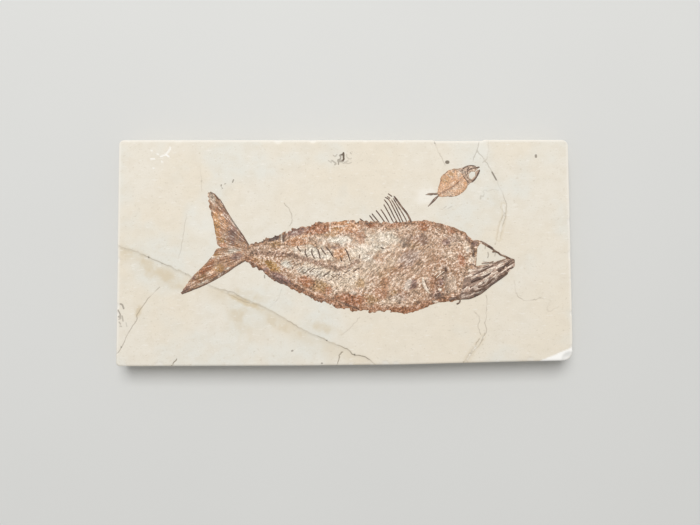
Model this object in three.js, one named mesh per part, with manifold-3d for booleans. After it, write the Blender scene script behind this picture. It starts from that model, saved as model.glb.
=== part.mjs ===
// Fossil fish slab: a sawn tablet of pale limestone with two flattened fossil fish on its bedding face.
// Millimetres, +Z up. The slab lies flat with its underside at z = 0 and the origin below its middle.
// +X runs from the large fish's tail to its snout, +Y towards the back edge, where the small fish lies.
import * as THREE from "three";
import { mergeVertices } from "three/addons/utils/BufferGeometryUtils.js";
import Module from "manifold-3d";

const wasm = await Module();
wasm.setup();

// Slab
const SLAB_LENGTH = 300;
const SLAB_DEPTH = 150;
const SLAB_THICKNESS = 18;
const WORN_EDGE = 0.9;
const BACK_CORNER_RADIUS = 3;
const HALF_X = SLAB_LENGTH / 2;
const HALF_Y = SLAB_DEPTH / 2;
const FACE = SLAB_THICKNESS;

// Bedding face: one layer broken away along the long crack, one thin flake lost at the back edge
const LEDGE_DROP = 0.6;
const FLAKE_DROP = 0.4;
const CRACK_WIDTH = 0.5;
const CRACK_DEPTH = 0.5;

// Fossils: a film of bone in a shallow pocket, a little proud of the stone
const POCKET_DEPTH = 1.2;
const CLEARANCE = 0.3;
const FILM_EDGE_RISE = 0.25;
const BODY_CROWN = 0.5;
const FIN_CROWN = 0.2;
const BONE_RISE = 0.35;
const FILM_BOTTOM = FACE - POCKET_DEPTH + CLEARANCE;

// Slab outline, seen from above, anticlockwise from the front left corner. The front edge runs
// slightly askew and its right corner is chipped; the back edge has a shallow nick.
const FRONT_EDGE = [[-149.5, -HALF_Y], [-28, -74.6], [40, -73.8], [104, -72.1], [146.8, -71.2]];
const RIGHT_EDGE = [[149.6, -66.5], [HALF_X, -58], [149.3, HALF_Y]];
const BACK_EDGE = [[93.5, HALF_Y], [92, 74.2], [60.5, 74.2], [59, 74.8], [-HALF_X, 74.8]];

// Cracks in the bedding face
const LONG_CRACK = [
  [-152, 5.2], [-138, 0.5], [-112, -10.8], [-84, -23.6], [-65, -30.7], [-52, -36.2], [-31, -48.6],
  [-9, -59], [2, -63.7], [14, -68.7], [22, -76],
];
const SIDE_CRACKS = [
  [[-121.3, -23.1], [-136, -41], [-141, -52], [-146.8, -64.9], [-152, -68]],
  [[59.2, 77], [62.7, 67], [67, 57.4]],
  [[91, 77], [88.8, 68.8], [85.7, 60.2]],
  [[88.4, 67.9], [100, 50], [108, 31.5], [104, 16], [100.6, 6.6]],
  [[93.1, -27.1], [93.5, -38.3], [92.3, -54.5], [86.7, -60.5], [80, -76]],
  [[112, -19], [115.5, -30.2], [134.8, -31.2], [138.8, -36.2]],
  [[-39.8, 32.5], [-35, 25], [-36, 17.2]],
];

// Lost flake between two cracks at the back edge
const FLAKE_OUTLINE = [[60.3, 80], [63, 67], [68, 61.5], [80, 62.5], [87, 64.5], [91, 80]];

// Large fish, as stations along X: [x, belly, back]
const BODY_STATIONS = [
  [-65, -6.2, 4.8], [-55, -12.6, 7.6], [-45, -19.4, 10.8], [-35, -23.6, 14.8], [-22, -30.2, 18.2],
  [-5, -36.2, 20.4], [15, -39.2, 20.3], [30, -39, 19.3], [40, -40.6, 19.9], [52, -37.3, 21.1],
  [61, -33.5, 19.4], [70, -32.8, 17.2], [79, -31.1, 13.3], [84.5, -28.7, 8.2], [90, -25.7, 7.4],
  [100, -19.2, 0.8], [107, -14.2, -3.2], [112.5, -9.4, -5.6],
];
const TAIL_UPPER = {
  outer: [[-62.5, 4.8], [-67.2, 12], [-71.8, 18.5], [-76.6, 26], [-82.4, 35.2], [-89.4, 41.2]],
  inner: [[-64, -1], [-81.5, 2.8], [-84.6, 11], [-86.6, 21], [-89, 30], [-90.3, 38.5]],
};
const TAIL_LOWER = {
  outer: [[-63.5, -5.2], [-70.5, -9.2], [-77.5, -14.1], [-85.5, -18.9], [-95, -23.4], [-106.8, -28]],
  inner: [[-64, -1], [-82, 2.6], [-86.6, -2.2], [-93.2, -9.6], [-100.4, -16.8], [-107.4, -27]],
};
const DORSAL_FIN = {
  outer: [[46, 17], [43.5, 21], [38.6, 30], [33.2, 38.2]],
  inner: [[6, 17], [9.4, 22.6], [22, 29.4], [29, 37.4]],
};
const BACKBONE = [
  [-64, -0.2], [-54, -0.7], [-39, -2.3], [-21, -7.9], [-2.7, -12.2], [12, -9.2], [34, -5.5], [58, -3],
];
const SKULL_ROOF = [[84, 8.2], [90, 6.8], [100, 0.2], [112, -6]];
const GILL_COVER = [[70.5, -4], [67.6, -16], [69, -24], [75, -31]];
const JAW_BARS = [
  [[111, -7], [104, -10.7], [88, -17], [79, -20.5]],
  [[106, -5.2], [96, -8.2], [84, -12.5]],
  [[111, -9.4], [99.5, -17], [87, -24], [77, -28.4]],
];
const CHEEK_HOLLOW = [[86.6, -4], [89.5, 5], [102, -3.2], [88, -8]];
const VERTEBRA_PITCH = 4.5;
const SPINE_PITCH = 7;
const TAIL_RAYS = 7;
const DORSAL_RAYS = 9;

// Small fish, in its own frame: x from the root of its tail to its snout
const SMALL_FISH_PLACE = [62.6, 38.2];
const SMALL_FISH_TURN = THREE.MathUtils.degToRad(30.8);
const SMALL_BODY_STATIONS = [
  [-0.5, -1.6, 1.2], [4, -4.2, 5.6], [7.2, -6, 8.8], [11, -7.1, 10.1], [14.5, -7, 10.3], [18, -5.9, 9.3],
  [21.5, -4.2, 7.6], [24.5, -4.4, 7.2], [27.5, -3.4, 6.4], [30, -2.1, 4.3], [32.4, 0.4, 1.4],
];
const SMALL_TAIL_UPPER = {
  outer: [[0.2, 1.2], [-3.5, 2.8], [-8.6, 5]],
  inner: [[0.2, -0.2], [-3.6, 0.9], [-7.8, 3.6]],
};
const SMALL_TAIL_LOWER = {
  outer: [[0.2, -1.6], [-4.5, -2.4], [-10.4, -3.6]],
  inner: [[0.2, -0.2], [-4, -0.5], [-9.6, -2.6]],
};
const SMALL_BACKBONE = [[0.4, -0.2], [6, -0.3], [12, -0.3], [19, 1.4]];
const SMALL_GILL_COVER = [[22, 6], [20.3, 2], [20.5, -1], [21.5, -3.6]];
const SMALL_JAW = [[31.4, 0.7], [28.5, -0.4], [26, -2.2]];
const SMALL_RIB_PITCH = 3;

// Bone sizes
const BAR_END = 0.25;
const FILM_ACROSS = 6;
const FIN_STEPS = 10;
const SMALL_FIN_STEPS = 4;
const RAY_HALF_WIDTH = 0.5;
const JAW_HALF_WIDTH = 0.9;
const SPINE_HALF_WIDTH = 0.35;
const SPINE_REACH = 0.85;
const SPINE_LEAN = 0.5;
const VERTEBRA_RADIUS = 1.5;
const VERTEBRA_FILL = 0.55;
const VERTEBRA_SEAT = 0.9;
const SMALL_SCALE = 0.6;

// Chips: the fresh break at the front right corner, and flake scars along the underside's edges
const CORNER_CHIP = { at: [149, -71, FACE], radii: [7, 6, 5] };
const UNDERSIDE_SCARS = [
  { at: [-151, -30, 0], radii: [9, 16, 2.5] },
  { at: [60, -74, 0], radii: [20, 7, 2] },
  { at: [-70, 76, 0], radii: [26, 8, 2.5] },
  { at: [151, 40, 0], radii: [7, 14, 2] },
];

// A closed mesh from rings of equal length, each ring one cross-section, capped at both ends.
function loft(rings) {
  const sides = rings[0].length;
  const index = [];
  for (let r = 0; r + 1 < rings.length; r++) {
    for (let s = 0; s < sides; s++) {
      const here = r * sides + s;
      const next = r * sides + ((s + 1) % sides);
      index.push(here, next, here + sides, next, next + sides, here + sides);
    }
  }
  const last = (rings.length - 1) * sides;
  for (let s = 1; s + 1 < sides; s++) {
    index.push(0, s + 1, s, last, last + s, last + s + 1);
  }
  const geometry = new THREE.BufferGeometry().setFromPoints(rings.flat());
  geometry.setIndex(index);
  return geometry;
}

// The solid of a closed geometry, turned right side out where its rings ran the other way round.
function solid(geometry) {
  const bare = geometry.clone();
  bare.deleteAttribute("normal");
  bare.deleteAttribute("uv");
  const merged = mergeVertices(bare, 1e-4);
  const vertProperties = new Float32Array(merged.attributes.position.array);
  const triVerts = new Uint32Array(merged.index.array);
  if (signedVolume(vertProperties, triVerts) < 0) {
    triVerts.reverse();
  }
  return new wasm.Manifold(new wasm.Mesh({ numProp: 3, vertProperties, triVerts }));
}

function signedVolume(points, triangles) {
  const corner = (i) => new THREE.Vector3().fromArray(points, triangles[i] * 3);
  let sum = 0;
  for (let i = 0; i < triangles.length; i += 3) {
    sum += corner(i).dot(corner(i + 1).cross(corner(i + 2)));
  }
  return sum;
}

function joined(solids) {
  return solids.reduce((whole, piece) => whole.add(piece));
}

function geometryOf(manifold) {
  const { vertProperties, triVerts } = manifold.getMesh();
  const geometry = new THREE.BufferGeometry();
  geometry.setAttribute("position", new THREE.BufferAttribute(new Float32Array(vertProperties), 3));
  geometry.setIndex(new THREE.BufferAttribute(new Uint32Array(triVerts), 1));
  return geometry;
}

function curve(points) {
  return new THREE.SplineCurve(points.map(([x, y]) => new THREE.Vector2(x, y)));
}

// A vertical-sided block over a flat outline, from one height to another.
function block(outline, bottom, top) {
  const shape = new THREE.Shape(outline.map(([x, y]) => new THREE.Vector2(x, y)));
  const geometry = new THREE.ExtrudeGeometry(shape, { depth: top - bottom, bevelEnabled: false });
  return solid(geometry.translate(0, 0, bottom));
}

// A bar of diamond section along a flat route, tapered at both ends: a bone, or the cutter of a crack.
// Its height runs evenly from the first point of the route to the last.
function bar(route, [startHeight, endHeight], halfWidth, halfRise) {
  const line = curve(route);
  const steps = route.length;
  const rings = [];
  for (let i = 0; i <= steps; i++) {
    const t = i / steps;
    const at = line.getPoint(t);
    const along = line.getTangent(t);
    const z = THREE.MathUtils.lerp(startHeight, endHeight, t);
    const taper = i === 0 || i === steps ? BAR_END : 1;
    const w = halfWidth * taper;
    const h = halfRise * taper;
    rings.push([
      new THREE.Vector3(at.x - along.y * w, at.y + along.x * w, z),
      new THREE.Vector3(at.x, at.y, z - h),
      new THREE.Vector3(at.x + along.y * w, at.y - along.x * w, z),
      new THREE.Vector3(at.x, at.y, z + h),
    ]);
  }
  return solid(loft(rings));
}

// Points of two edges at one place between root (0) and tip (1), moved apart by the margin.
function edgePoints(edges, t, margin) {
  const outer = curve(edges.outer);
  const inner = curve(edges.inner);
  const a = outer.getPoint(t);
  const b = inner.getPoint(t);
  const apart = b.clone().sub(a).normalize().multiplyScalar(margin);
  const onward = outer.getTangent(t).add(inner.getTangent(t)).normalize().multiplyScalar(margin);
  const end = t === 0 ? -1 : t === 1 ? 1 : 0;
  onward.multiplyScalar(end);
  return [a.sub(apart).add(onward), b.add(apart).add(onward)];
}

// A film of bone between two edges, in sections from root to tip, with a flat bottom and a top
// that is lowest at the edges and arched between them.
function film(edges, crown, steps) {
  const rings = [];
  for (let i = 0; i <= steps; i++) {
    const t = i / steps;
    const [a, b] = edgePoints(edges, t, 0);
    const arch = crown * Math.sin(Math.PI * (0.1 + 0.8 * t));
    const ring = [new THREE.Vector3(b.x, b.y, FILM_BOTTOM), new THREE.Vector3(a.x, a.y, FILM_BOTTOM)];
    for (let k = 0; k <= FILM_ACROSS; k++) {
      const v = k / FILM_ACROSS;
      const at = a.clone().lerp(b, v);
      ring.push(new THREE.Vector3(at.x, at.y, FACE + FILM_EDGE_RISE + arch * Math.sin(Math.PI * v)));
    }
    rings.push(ring);
  }
  return solid(loft(rings));
}

// The cutter of a film's pocket: the same edges moved out by the clearance, open upwards.
function pocket(edges, steps) {
  const rings = [];
  for (let i = 0; i <= steps; i++) {
    const [a, b] = edgePoints(edges, i / steps, CLEARANCE);
    const low = FACE - POCKET_DEPTH;
    const high = FACE + POCKET_DEPTH;
    rings.push([
      new THREE.Vector3(b.x, b.y, low),
      new THREE.Vector3(a.x, a.y, low),
      new THREE.Vector3(a.x, a.y, high),
      new THREE.Vector3(b.x, b.y, high),
    ]);
  }
  return solid(loft(rings));
}

// A route between the two edges of a fin, a fixed share of the way across: one fin ray.
function rayRoute(edges, share, from, to) {
  const stops = [from, (from + to) / 2, to];
  return stops.map((t) => {
    const [a, b] = edgePoints(edges, t, 0);
    return a.lerp(b, share).toArray();
  });
}

function rays(edges, count, from, to) {
  const rayHeights = [FACE + FILM_EDGE_RISE + FIN_CROWN / 2, FACE + FILM_EDGE_RISE];
  const bars = [];
  for (let k = 0; k < count; k++) {
    const share = (k + 0.5) / count;
    bars.push(bar(rayRoute(edges, share, from, to), rayHeights, RAY_HALF_WIDTH, BONE_RISE));
  }
  return bars;
}

function bodyEdges(stations) {
  return {
    outer: stations.map(([x, , back]) => [x, back]),
    inner: stations.map(([x, belly]) => [x, belly]),
  };
}

// The height of a body's two outlines at one place along it.
function bodyAt(stations, x) {
  const i = Math.max(0, stations.findIndex((station) => station[0] > x) - 1);
  const [x0, belly0, back0] = stations[i];
  const [x1, belly1, back1] = stations[i + 1];
  const t = (x - x0) / (x1 - x0);
  return {
    belly: THREE.MathUtils.lerp(belly0, belly1, t),
    back: THREE.MathUtils.lerp(back0, back1, t),
  };
}

// Spines of a backbone, one above and one below each stop, leaning back towards the tail.
function spines(stations, backbone, pitch, from, to, scale) {
  const line = curve(backbone);
  const count = Math.floor((to - from) * line.getLength() / pitch);
  const low = FACE + FILM_EDGE_RISE;
  const high = low + BODY_CROWN * scale;
  const bars = [];
  for (let k = 0; k <= count; k++) {
    const root = line.getPointAt(from + (to - from) * k / count);
    const { belly, back } = bodyAt(stations, root.x);
    for (const edge of [belly, back]) {
      const reach = (edge - root.y) * SPINE_REACH;
      const lean = Math.abs(reach) * SPINE_LEAN;
      const route = [
        [root.x, root.y],
        [root.x - lean * 0.4, root.y + reach * 0.55],
        [root.x - lean, root.y + reach],
      ];
      bars.push(bar(route, [high, low], SPINE_HALF_WIDTH * scale, BONE_RISE * scale));
    }
  }
  return bars;
}

// Vertebrae as a row of small diamonds along the backbone.
function vertebrae(backbone, pitch, radius) {
  const line = curve(backbone);
  const count = Math.floor(line.getLength() / pitch);
  const bones = [];
  for (let k = 0; k < count; k++) {
    const at = line.getPointAt((k + 0.5) / count);
    const along = line.getTangentAt((k + 0.5) / count);
    const bone = new THREE.OctahedronGeometry(1);
    bone.scale(pitch * VERTEBRA_FILL, radius, BONE_RISE);
    bone.rotateZ(along.angle());
    bone.translate(at.x, at.y, FACE + FILM_EDGE_RISE + BODY_CROWN * VERTEBRA_SEAT);
    bones.push(solid(bone));
  }
  return bones;
}

// A flake scar or chip: a shallow hollow with an oval rim.
function scar([x, y, z], [rx, ry, rz]) {
  const hollow = new THREE.IcosahedronGeometry(1, 1);
  return solid(hollow.scale(rx, ry, rz).translate(x, y, z));
}

// Slab
function slabBlank() {
  const shape = new THREE.Shape();
  const corner = BACK_CORNER_RADIUS;
  const rightBack = RIGHT_EDGE.at(-1);
  shape.setFromPoints([...FRONT_EDGE, ...RIGHT_EDGE.slice(0, -1)].map(([x, y]) => new THREE.Vector2(x, y)));
  shape.lineTo(rightBack[0], rightBack[1] - corner);
  shape.quadraticCurveTo(rightBack[0], rightBack[1], rightBack[0] - corner, rightBack[1]);
  BACK_EDGE.slice(0, -1).forEach(([x, y]) => shape.lineTo(x, y));
  const leftBack = BACK_EDGE.at(-1);
  shape.lineTo(leftBack[0] + corner, leftBack[1]);
  shape.quadraticCurveTo(leftBack[0], leftBack[1], leftBack[0], leftBack[1] - corner);
  const geometry = new THREE.ExtrudeGeometry(shape, {
    depth: SLAB_THICKNESS - 2 * WORN_EDGE,
    bevelThickness: WORN_EDGE,
    bevelSize: WORN_EDGE,
    bevelOffset: -WORN_EDGE,
    bevelSegments: 2,
    curveSegments: 4,
  });
  return solid(geometry.translate(0, 0, WORN_EDGE));
}

const ABOVE = FACE + 5;
const LOWER_LAYER = [...LONG_CRACK, [-HALF_X - 5, -HALF_Y - 5]];

function slabGeometry(pockets) {
  const crackCutters = SIDE_CRACKS.map((route) => bar(route, [FACE, FACE], CRACK_WIDTH / 2, CRACK_DEPTH));
  const scars = [CORNER_CHIP, ...UNDERSIDE_SCARS].map(({ at, radii }) => scar(at, radii));
  const cutters = [
    block(LOWER_LAYER, FACE - LEDGE_DROP, ABOVE),
    block(FLAKE_OUTLINE, FACE - FLAKE_DROP, ABOVE),
    ...crackCutters,
    ...scars,
    ...pockets,
  ];
  return geometryOf(slabBlank().subtract(joined(cutters)));
}

// Large fish
const BODY = bodyEdges(BODY_STATIONS);
const BODY_STEPS = 2 * (BODY_STATIONS.length - 1);
const EDGE_BONE = [FACE + FILM_EDGE_RISE, FACE + FILM_EDGE_RISE];
const HEAD_BONE = [FACE + FILM_EDGE_RISE + BODY_CROWN / 3, FACE + FILM_EDGE_RISE + BODY_CROWN / 2];

function largeFishGeometry() {
  const films = [
    film(BODY, BODY_CROWN, BODY_STEPS),
    film(TAIL_UPPER, FIN_CROWN, FIN_STEPS),
    film(TAIL_LOWER, FIN_CROWN, FIN_STEPS),
    film(DORSAL_FIN, 0, FIN_STEPS),
  ];
  const cheek = block(CHEEK_HOLLOW, FACE + FILM_EDGE_RISE / 2, ABOVE);
  const bones = [
    ...vertebrae(BACKBONE, VERTEBRA_PITCH, VERTEBRA_RADIUS),
    ...spines(BODY_STATIONS, BACKBONE, SPINE_PITCH, 0.06, 0.72, 1),
    ...rays(TAIL_UPPER, TAIL_RAYS, 0.12, 0.97),
    ...rays(TAIL_LOWER, TAIL_RAYS, 0.12, 0.97),
    ...rays(DORSAL_FIN, DORSAL_RAYS, 0.3, 1),
    bar(SKULL_ROOF, EDGE_BONE, JAW_HALF_WIDTH, BONE_RISE),
    bar(GILL_COVER, HEAD_BONE, JAW_HALF_WIDTH, BONE_RISE),
    ...JAW_BARS.map((route) => bar(route, HEAD_BONE, JAW_HALF_WIDTH, BONE_RISE)),
  ];
  const lowered = block(LOWER_LAYER, FACE - LEDGE_DROP + FILM_EDGE_RISE + FIN_CROWN, ABOVE);
  return geometryOf(joined(films).subtract(cheek).add(joined(bones)).subtract(lowered));
}

function largeFishPockets() {
  return [
    pocket(BODY, BODY_STEPS),
    pocket(TAIL_UPPER, FIN_STEPS),
    pocket(TAIL_LOWER, FIN_STEPS),
    pocket(DORSAL_FIN, FIN_STEPS),
  ];
}

// Small fish
const SMALL_BODY = bodyEdges(SMALL_BODY_STATIONS);
const SMALL_BODY_STEPS = 2 * (SMALL_BODY_STATIONS.length - 1);

function smallFishGeometry() {
  const films = [
    film(SMALL_BODY, BODY_CROWN * SMALL_SCALE, SMALL_BODY_STEPS),
    film(SMALL_TAIL_UPPER, 0, SMALL_FIN_STEPS),
    film(SMALL_TAIL_LOWER, 0, SMALL_FIN_STEPS),
  ];
  const bones = [
    ...spines(SMALL_BODY_STATIONS, SMALL_BACKBONE, SMALL_RIB_PITCH, 0.08, 0.95, SMALL_SCALE),
    bar(SMALL_BACKBONE, HEAD_BONE, JAW_HALF_WIDTH * SMALL_SCALE, BONE_RISE * SMALL_SCALE),
    bar(SMALL_GILL_COVER, HEAD_BONE, JAW_HALF_WIDTH * SMALL_SCALE, BONE_RISE * SMALL_SCALE),
    bar(SMALL_JAW, EDGE_BONE, JAW_HALF_WIDTH * SMALL_SCALE, BONE_RISE * SMALL_SCALE),
  ];
  return geometryOf(joined([...films, ...bones]));
}

function smallFishPockets() {
  const cutters = [
    pocket(SMALL_BODY, SMALL_BODY_STEPS),
    pocket(SMALL_TAIL_UPPER, SMALL_FIN_STEPS),
    pocket(SMALL_TAIL_LOWER, SMALL_FIN_STEPS),
  ];
  const [x, y] = SMALL_FISH_PLACE;
  const turnDegrees = THREE.MathUtils.radToDeg(SMALL_FISH_TURN);
  return cutters.map((cutter) => cutter.rotate([0, 0, turnDegrees]).translate([x, y, 0]));
}

function piece(name, geometry, colour, roughness) {
  geometry.computeVertexNormals();
  const material = new THREE.MeshStandardMaterial({ color: colour, roughness, metalness: 0 });
  material.flatShading = true;
  const mesh = new THREE.Mesh(geometry, material);
  mesh.name = name;
  return mesh;
}

const fossilSlab = new THREE.Group();
fossilSlab.add(piece("slab", slabGeometry([...largeFishPockets(), ...smallFishPockets()]), 0xe5dfd0, 0.9));
fossilSlab.add(piece("large_fish", largeFishGeometry(), 0xb5957c, 0.7));
const smallFish = piece("small_fish", smallFishGeometry(), 0xd0aa8a, 0.75);
smallFish.position.set(...SMALL_FISH_PLACE, 0);
smallFish.rotation.z = SMALL_FISH_TURN;
fossilSlab.add(smallFish);

export default fossilSlab;
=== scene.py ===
"""Fossil fish slab: the looks of a limestone tablet with two flattened fossil fish, as a Blender add-on.

Sizes are in millimetres in the part's frame unless a name says otherwise, and MM turns them to metres.
+X runs from the large fish's tail to its snout, +Y to the back edge of the slab, +Z up through its face.
"""

import math

import bmesh
import bpy
import numpy as np
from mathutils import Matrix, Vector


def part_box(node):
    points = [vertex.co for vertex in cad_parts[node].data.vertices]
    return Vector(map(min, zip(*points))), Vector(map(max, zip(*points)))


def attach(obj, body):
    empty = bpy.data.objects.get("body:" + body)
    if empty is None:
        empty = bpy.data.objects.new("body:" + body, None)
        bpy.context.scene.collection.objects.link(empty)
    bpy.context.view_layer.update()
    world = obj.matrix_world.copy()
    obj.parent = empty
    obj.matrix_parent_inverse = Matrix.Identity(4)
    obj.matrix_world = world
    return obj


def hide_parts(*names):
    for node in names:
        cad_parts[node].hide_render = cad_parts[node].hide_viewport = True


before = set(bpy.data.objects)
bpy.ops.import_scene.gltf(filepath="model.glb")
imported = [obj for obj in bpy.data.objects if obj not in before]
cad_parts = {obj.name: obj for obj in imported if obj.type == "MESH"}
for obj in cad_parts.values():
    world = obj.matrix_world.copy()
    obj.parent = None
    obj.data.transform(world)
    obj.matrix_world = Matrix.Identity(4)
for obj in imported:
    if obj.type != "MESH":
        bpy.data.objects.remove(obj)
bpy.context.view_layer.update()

bl_info = {
    "name": "Fossil fish slab",
    "version": (1, 0, 0),
    "blender": (4, 5, 0),
    "location": "View3D > Sidebar > Fossil",
    "description": "Builds a limestone slab with two fossil fish around its packed solids",
    "category": "Object",
}

MM = 0.001
HALF_X, HALF_Y, FACE = (float(side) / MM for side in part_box("slab")[1])


# Slab outline and breaks, the same places as the solids

FRONT_EDGE = [(-149.5, -HALF_Y), (-28, -74.6), (40, -73.8), (104, -72.1), (146.8, -71.2)]
BACK_EDGE = [(-HALF_X, 74.8), (59, 74.8), (60.5, 74.2), (92, 74.2), (93.5, HALF_Y), (149.3, HALF_Y)]
LEFT_EDGE = [(-HALF_Y, -149.5), (74.8, -HALF_X)]
RIGHT_EDGE = [(-71.2, 149.8), (-58, HALF_X), (HALF_Y, 149.3)]
CORNER_RADII = {"front_left": 1.5, "front_right": 3.5, "back_right": 3.5, "back_left": 2.5}

LONG_CRACK = [
    (-154, 6), (-138, 0.5), (-128.8, -3.6), (-112, -10.8), (-103, -14.9), (-84, -23.8), (-74.4, -26.3),
    (-65, -30.7), (-52, -36.2), (-41.7, -42.3), (-31.5, -48.4), (-21.3, -53.5), (-9, -59), (2, -63.7),
    (6, -67), (14, -68.7), (22, -76),
]
# Each crack is (how dark, route)
CRACKS = [
    (0.4, LONG_CRACK),
    (0.5, [(-121.3, -23.1), (-129.3, -31.2), (-136, -41), (-136.4, -45.3), (-141, -52), (-146.8, -64.9),
           (-153, -68)]),
    (0.9, [(-115, -78), (-109.6, -70.2)]),
    (0.3, [(59.2, 78), (61, 70.8), (62.7, 67), (65, 62.2), (67, 57.4)]),
    (0.35, [(91, 78), (88.8, 68.8), (86.7, 63.6), (85.7, 60.2)]),
    (0.38, [(88.4, 67.9), (94.1, 60.3), (100, 50), (104.1, 40.6), (107.3, 31), (106.7, 23.1), (104.8, 17),
            (103.3, 9)]),
    (0.36, [(103.6, 30), (105.4, 26.2), (103.8, 21.1), (102, 16), (101, 9.9), (99.7, 4.9)]),
    (0.3, [(102.3, 40.8), (99.2, 41.4), (95.2, 40.4), (92.6, 40.9), (92.4, 37.2), (90.7, 37), (90.5, 35)]),
    (0.3, [(96.2, 78), (95.8, 68), (94.6, 62), (92, 59.4)]),
    (0.4, [(93.4, -28.4), (93.9, -38.1), (92.9, -47.6), (93.4, -52.3), (91.4, -55.6), (89.6, -59.4),
           (83.9, -66.2), (80.4, -73), (79.6, -78)]),
    (0.3, [(85.4, -39.3), (88.7, -42.8), (88.2, -49.8), (89.9, -54.5)]),
    (0.42, [(88.8, -56.8), (86, -61.2), (81.2, -67.6), (78.2, -73), (77.4, -78)]),
    (0.4, [(111.9, -18.8), (112.6, -24.1), (114.4, -29.4), (120.7, -32.1), (124, -31.6), (128.8, -30.3),
           (131.3, -30.9)]),
    (0.18, [(131.3, -30.9), (136, -32.2), (133.1, -36.6), (134.9, -39), (141.3, -35.7)]),
    (0.4, [(-39.8, 32.5), (-35.8, 27.2), (-34.4, 22.5), (-36, 17.2)]),
    (0.75, [(-1, -65.7), (-2.3, -66.9), (-3.6, -70.8), (-6.2, -78)]),
    (0.22, [(-104.3, 25.1), (-106.6, 7.9), (-109.4, -5.9)]),
    (0.16, [(-95.2, 56.3), (-94.3, 40.4)]),
    (0.2, [(-2, -54.8), (5.2, -48.6), (10.5, -42.7)]),
    (0.24, [(-41, -24.6), (-42.3, -28), (-43.2, -30.6), (-45.6, -33.4), (-48.8, -36.6)]),
    (0.3, [(-80.6, -26.2), (-74, -28.9), (-67.4, -31.7), (-57.5, -34.8), (-50, -37.2)]),
]
# Each dark stroke on the face is (half width, how dark, route); a spot is a very short one
STROKES = [
    (0.5, 1.0, [(-0.4, 66.1), (-0.3, 63.9), (-0.2, 61.8), (-1.1, 60.7)]),
    (0.4, 0.9, [(-2, 64.9), (-0.7, 64.9)]),
    (0.4, 0.55, [(-2.9, 64.4), (-2.2, 63), (-2.9, 61.6), (-4.1, 61.4)]),
    (0.45, 0.5, [(-4.1, 60.5), (-1.4, 60.2)]),
    (0.35, 0.6, [(-3.7, 60.2), (-3.7, 58.4)]),
    (0.3, 0.3, [(-7.2, 64.5), (-5.8, 63.5), (-4.8, 65)]),
    (0.4, 0.4, [(-8.2, 61.1), (-6.6, 59.9), (-5.5, 59), (-6.1, 58.1)]),
    (0.3, 0.25, [(-10.6, 61.1), (-8.4, 59.3)]),
    (0.3, 0.25, [(1.7, 64.9), (1.8, 63.3), (3.8, 61.9), (5, 62.5)]),
    (0.3, 0.35, [(4.1, 66.2), (4.7, 65.5)]),
    (0.35, 0.28, [(-0.5, 59), (1.1, 59.9), (2.6, 60.8)]),
    (0.3, 0.25, [(0.3, 59.4), (2.6, 58.8), (5, 59.8)]),
    (1.1, 0.84, [(68.3, 59.8), (68.9, 59.8)]),
    (0.7, 0.65, [(127.5, 64.4), (127.5, 63.4)]),
    (0.35, 0.6, [(-81.6, 43.8), (-81.4, 44.6)]),
    (0.3, 0.4, [(-79.2, 45.2), (-78.6, 45.5)]),
    (0.3, 0.45, [(-80.8, 42.4), (-80.4, 42.3)]),
    (0.35, 0.6, [(-74, 46.4), (-73.3, 48.1)]),
    (0.45, 0.6, [(-34.2, -64.9), (-33.6, -64.7)]),
    (0.5, 0.6, [(-14.7, -73), (-14.3, -73)]),
    (0.45, 0.65, [(98.2, 53.1), (101, 48)]),
    (0.45, 0.55, [(-147.1, -34.2), (-145.8, -34.8), (-144.9, -37.2)]),
    (0.35, 0.55, [(-148.6, -38.1), (-147, -41.1)]),
    (0.4, 0.5, [(-148.4, -42.5), (-147.1, -42.6)]),
    (0.35, 0.35, [(-147.9, -44.2), (-146.7, -43.8)]),
    (0.35, 0.42, [(-145.8, -42.1), (-145.1, -45.5)]),
    (0.35, 0.38, [(-147.7, -46.1), (-146.8, -47.3)]),
    (0.35, 0.32, [(-147.2, -48.8), (-146, -48.9)]),
    (0.3, 0.22, [(-143.2, -46.4), (-142.6, -49)]),
    (0.25, 0.2, [(65.9, 29), (67.7, 30.4)]),
    (0.25, 0.2, [(68.7, 28.8), (71.5, 30.4)]),
    (0.3, 0.6, [(-52.4, -15.4), (-52.2, -17.2)]),
    (0.3, 0.45, [(94.9, -0.2), (95.2, -2), (94.7, -3.8)]),
    (0.3, 0.35, [(93.6, 4.6), (93, 2.2)]),
    (0.3, 0.35, [(100, -0.2), (99.4, -2.6)]),
    (0.25, 0.3, [(91.5, -6), (94, -6.6)]),
]
FLAKE_OUTLINE = [(91, 80), (87, 64.5), (80, 62.5), (68, 61.5), (63, 67), (60.3, 80)]
CORNER_CHIP = ((149, -71), (7, 6, 5))
UNDERSIDE_SCARS = [
    ((-151, -30), (9, 16, 2.5)),
    ((60, -74), (20, 7, 2)),
    ((-70, 76), (26, 8, 2.5)),
    ((151, 40), (7, 14, 2)),
]
# Rows of points of the round edge, shares of the way down the sides where further rows lie, and the round
# foot as (how far out, share of the way down)
ROUND_ROWS = 4
SIDE_SHARES = (0.09, 0.2, 0.4, 0.6, 0.8, 0.93)
FOOT_ROWS = ((0.85, 0.985), (0.3, 1.0))
# Shares of the way from the foot of the sides to the middle of the underside
UNDERSIDE_RINGS = (0.004, 0.012, 0.03, 0.06, 0.11, 0.25, 0.5, 0.8, 0.97)
# The front edge is this many times as worn as the others
FRONT_WORN = 1.6
# Small chips of the edges: how many, their reach along an edge, the half length of the two chipped sides,
# and the least and greatest radius and depth
EDGE_CHIPS = 26
CHIP_REACH = 0.97
CHIPPED_SIDE = 70
CHIP_RADII = (1.2, 3.4)
CHIP_DEPTHS = (0.25, 0.7)
# Rows of the round edge painted pale, partly worn stone and partly painted highlight, counted from the face
RUBBED_AND_LIT_ROWS = 3


# Stains and fresh breaks of the face, a patch is (x, y, half length, half width, turn in degrees, strength)

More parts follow.
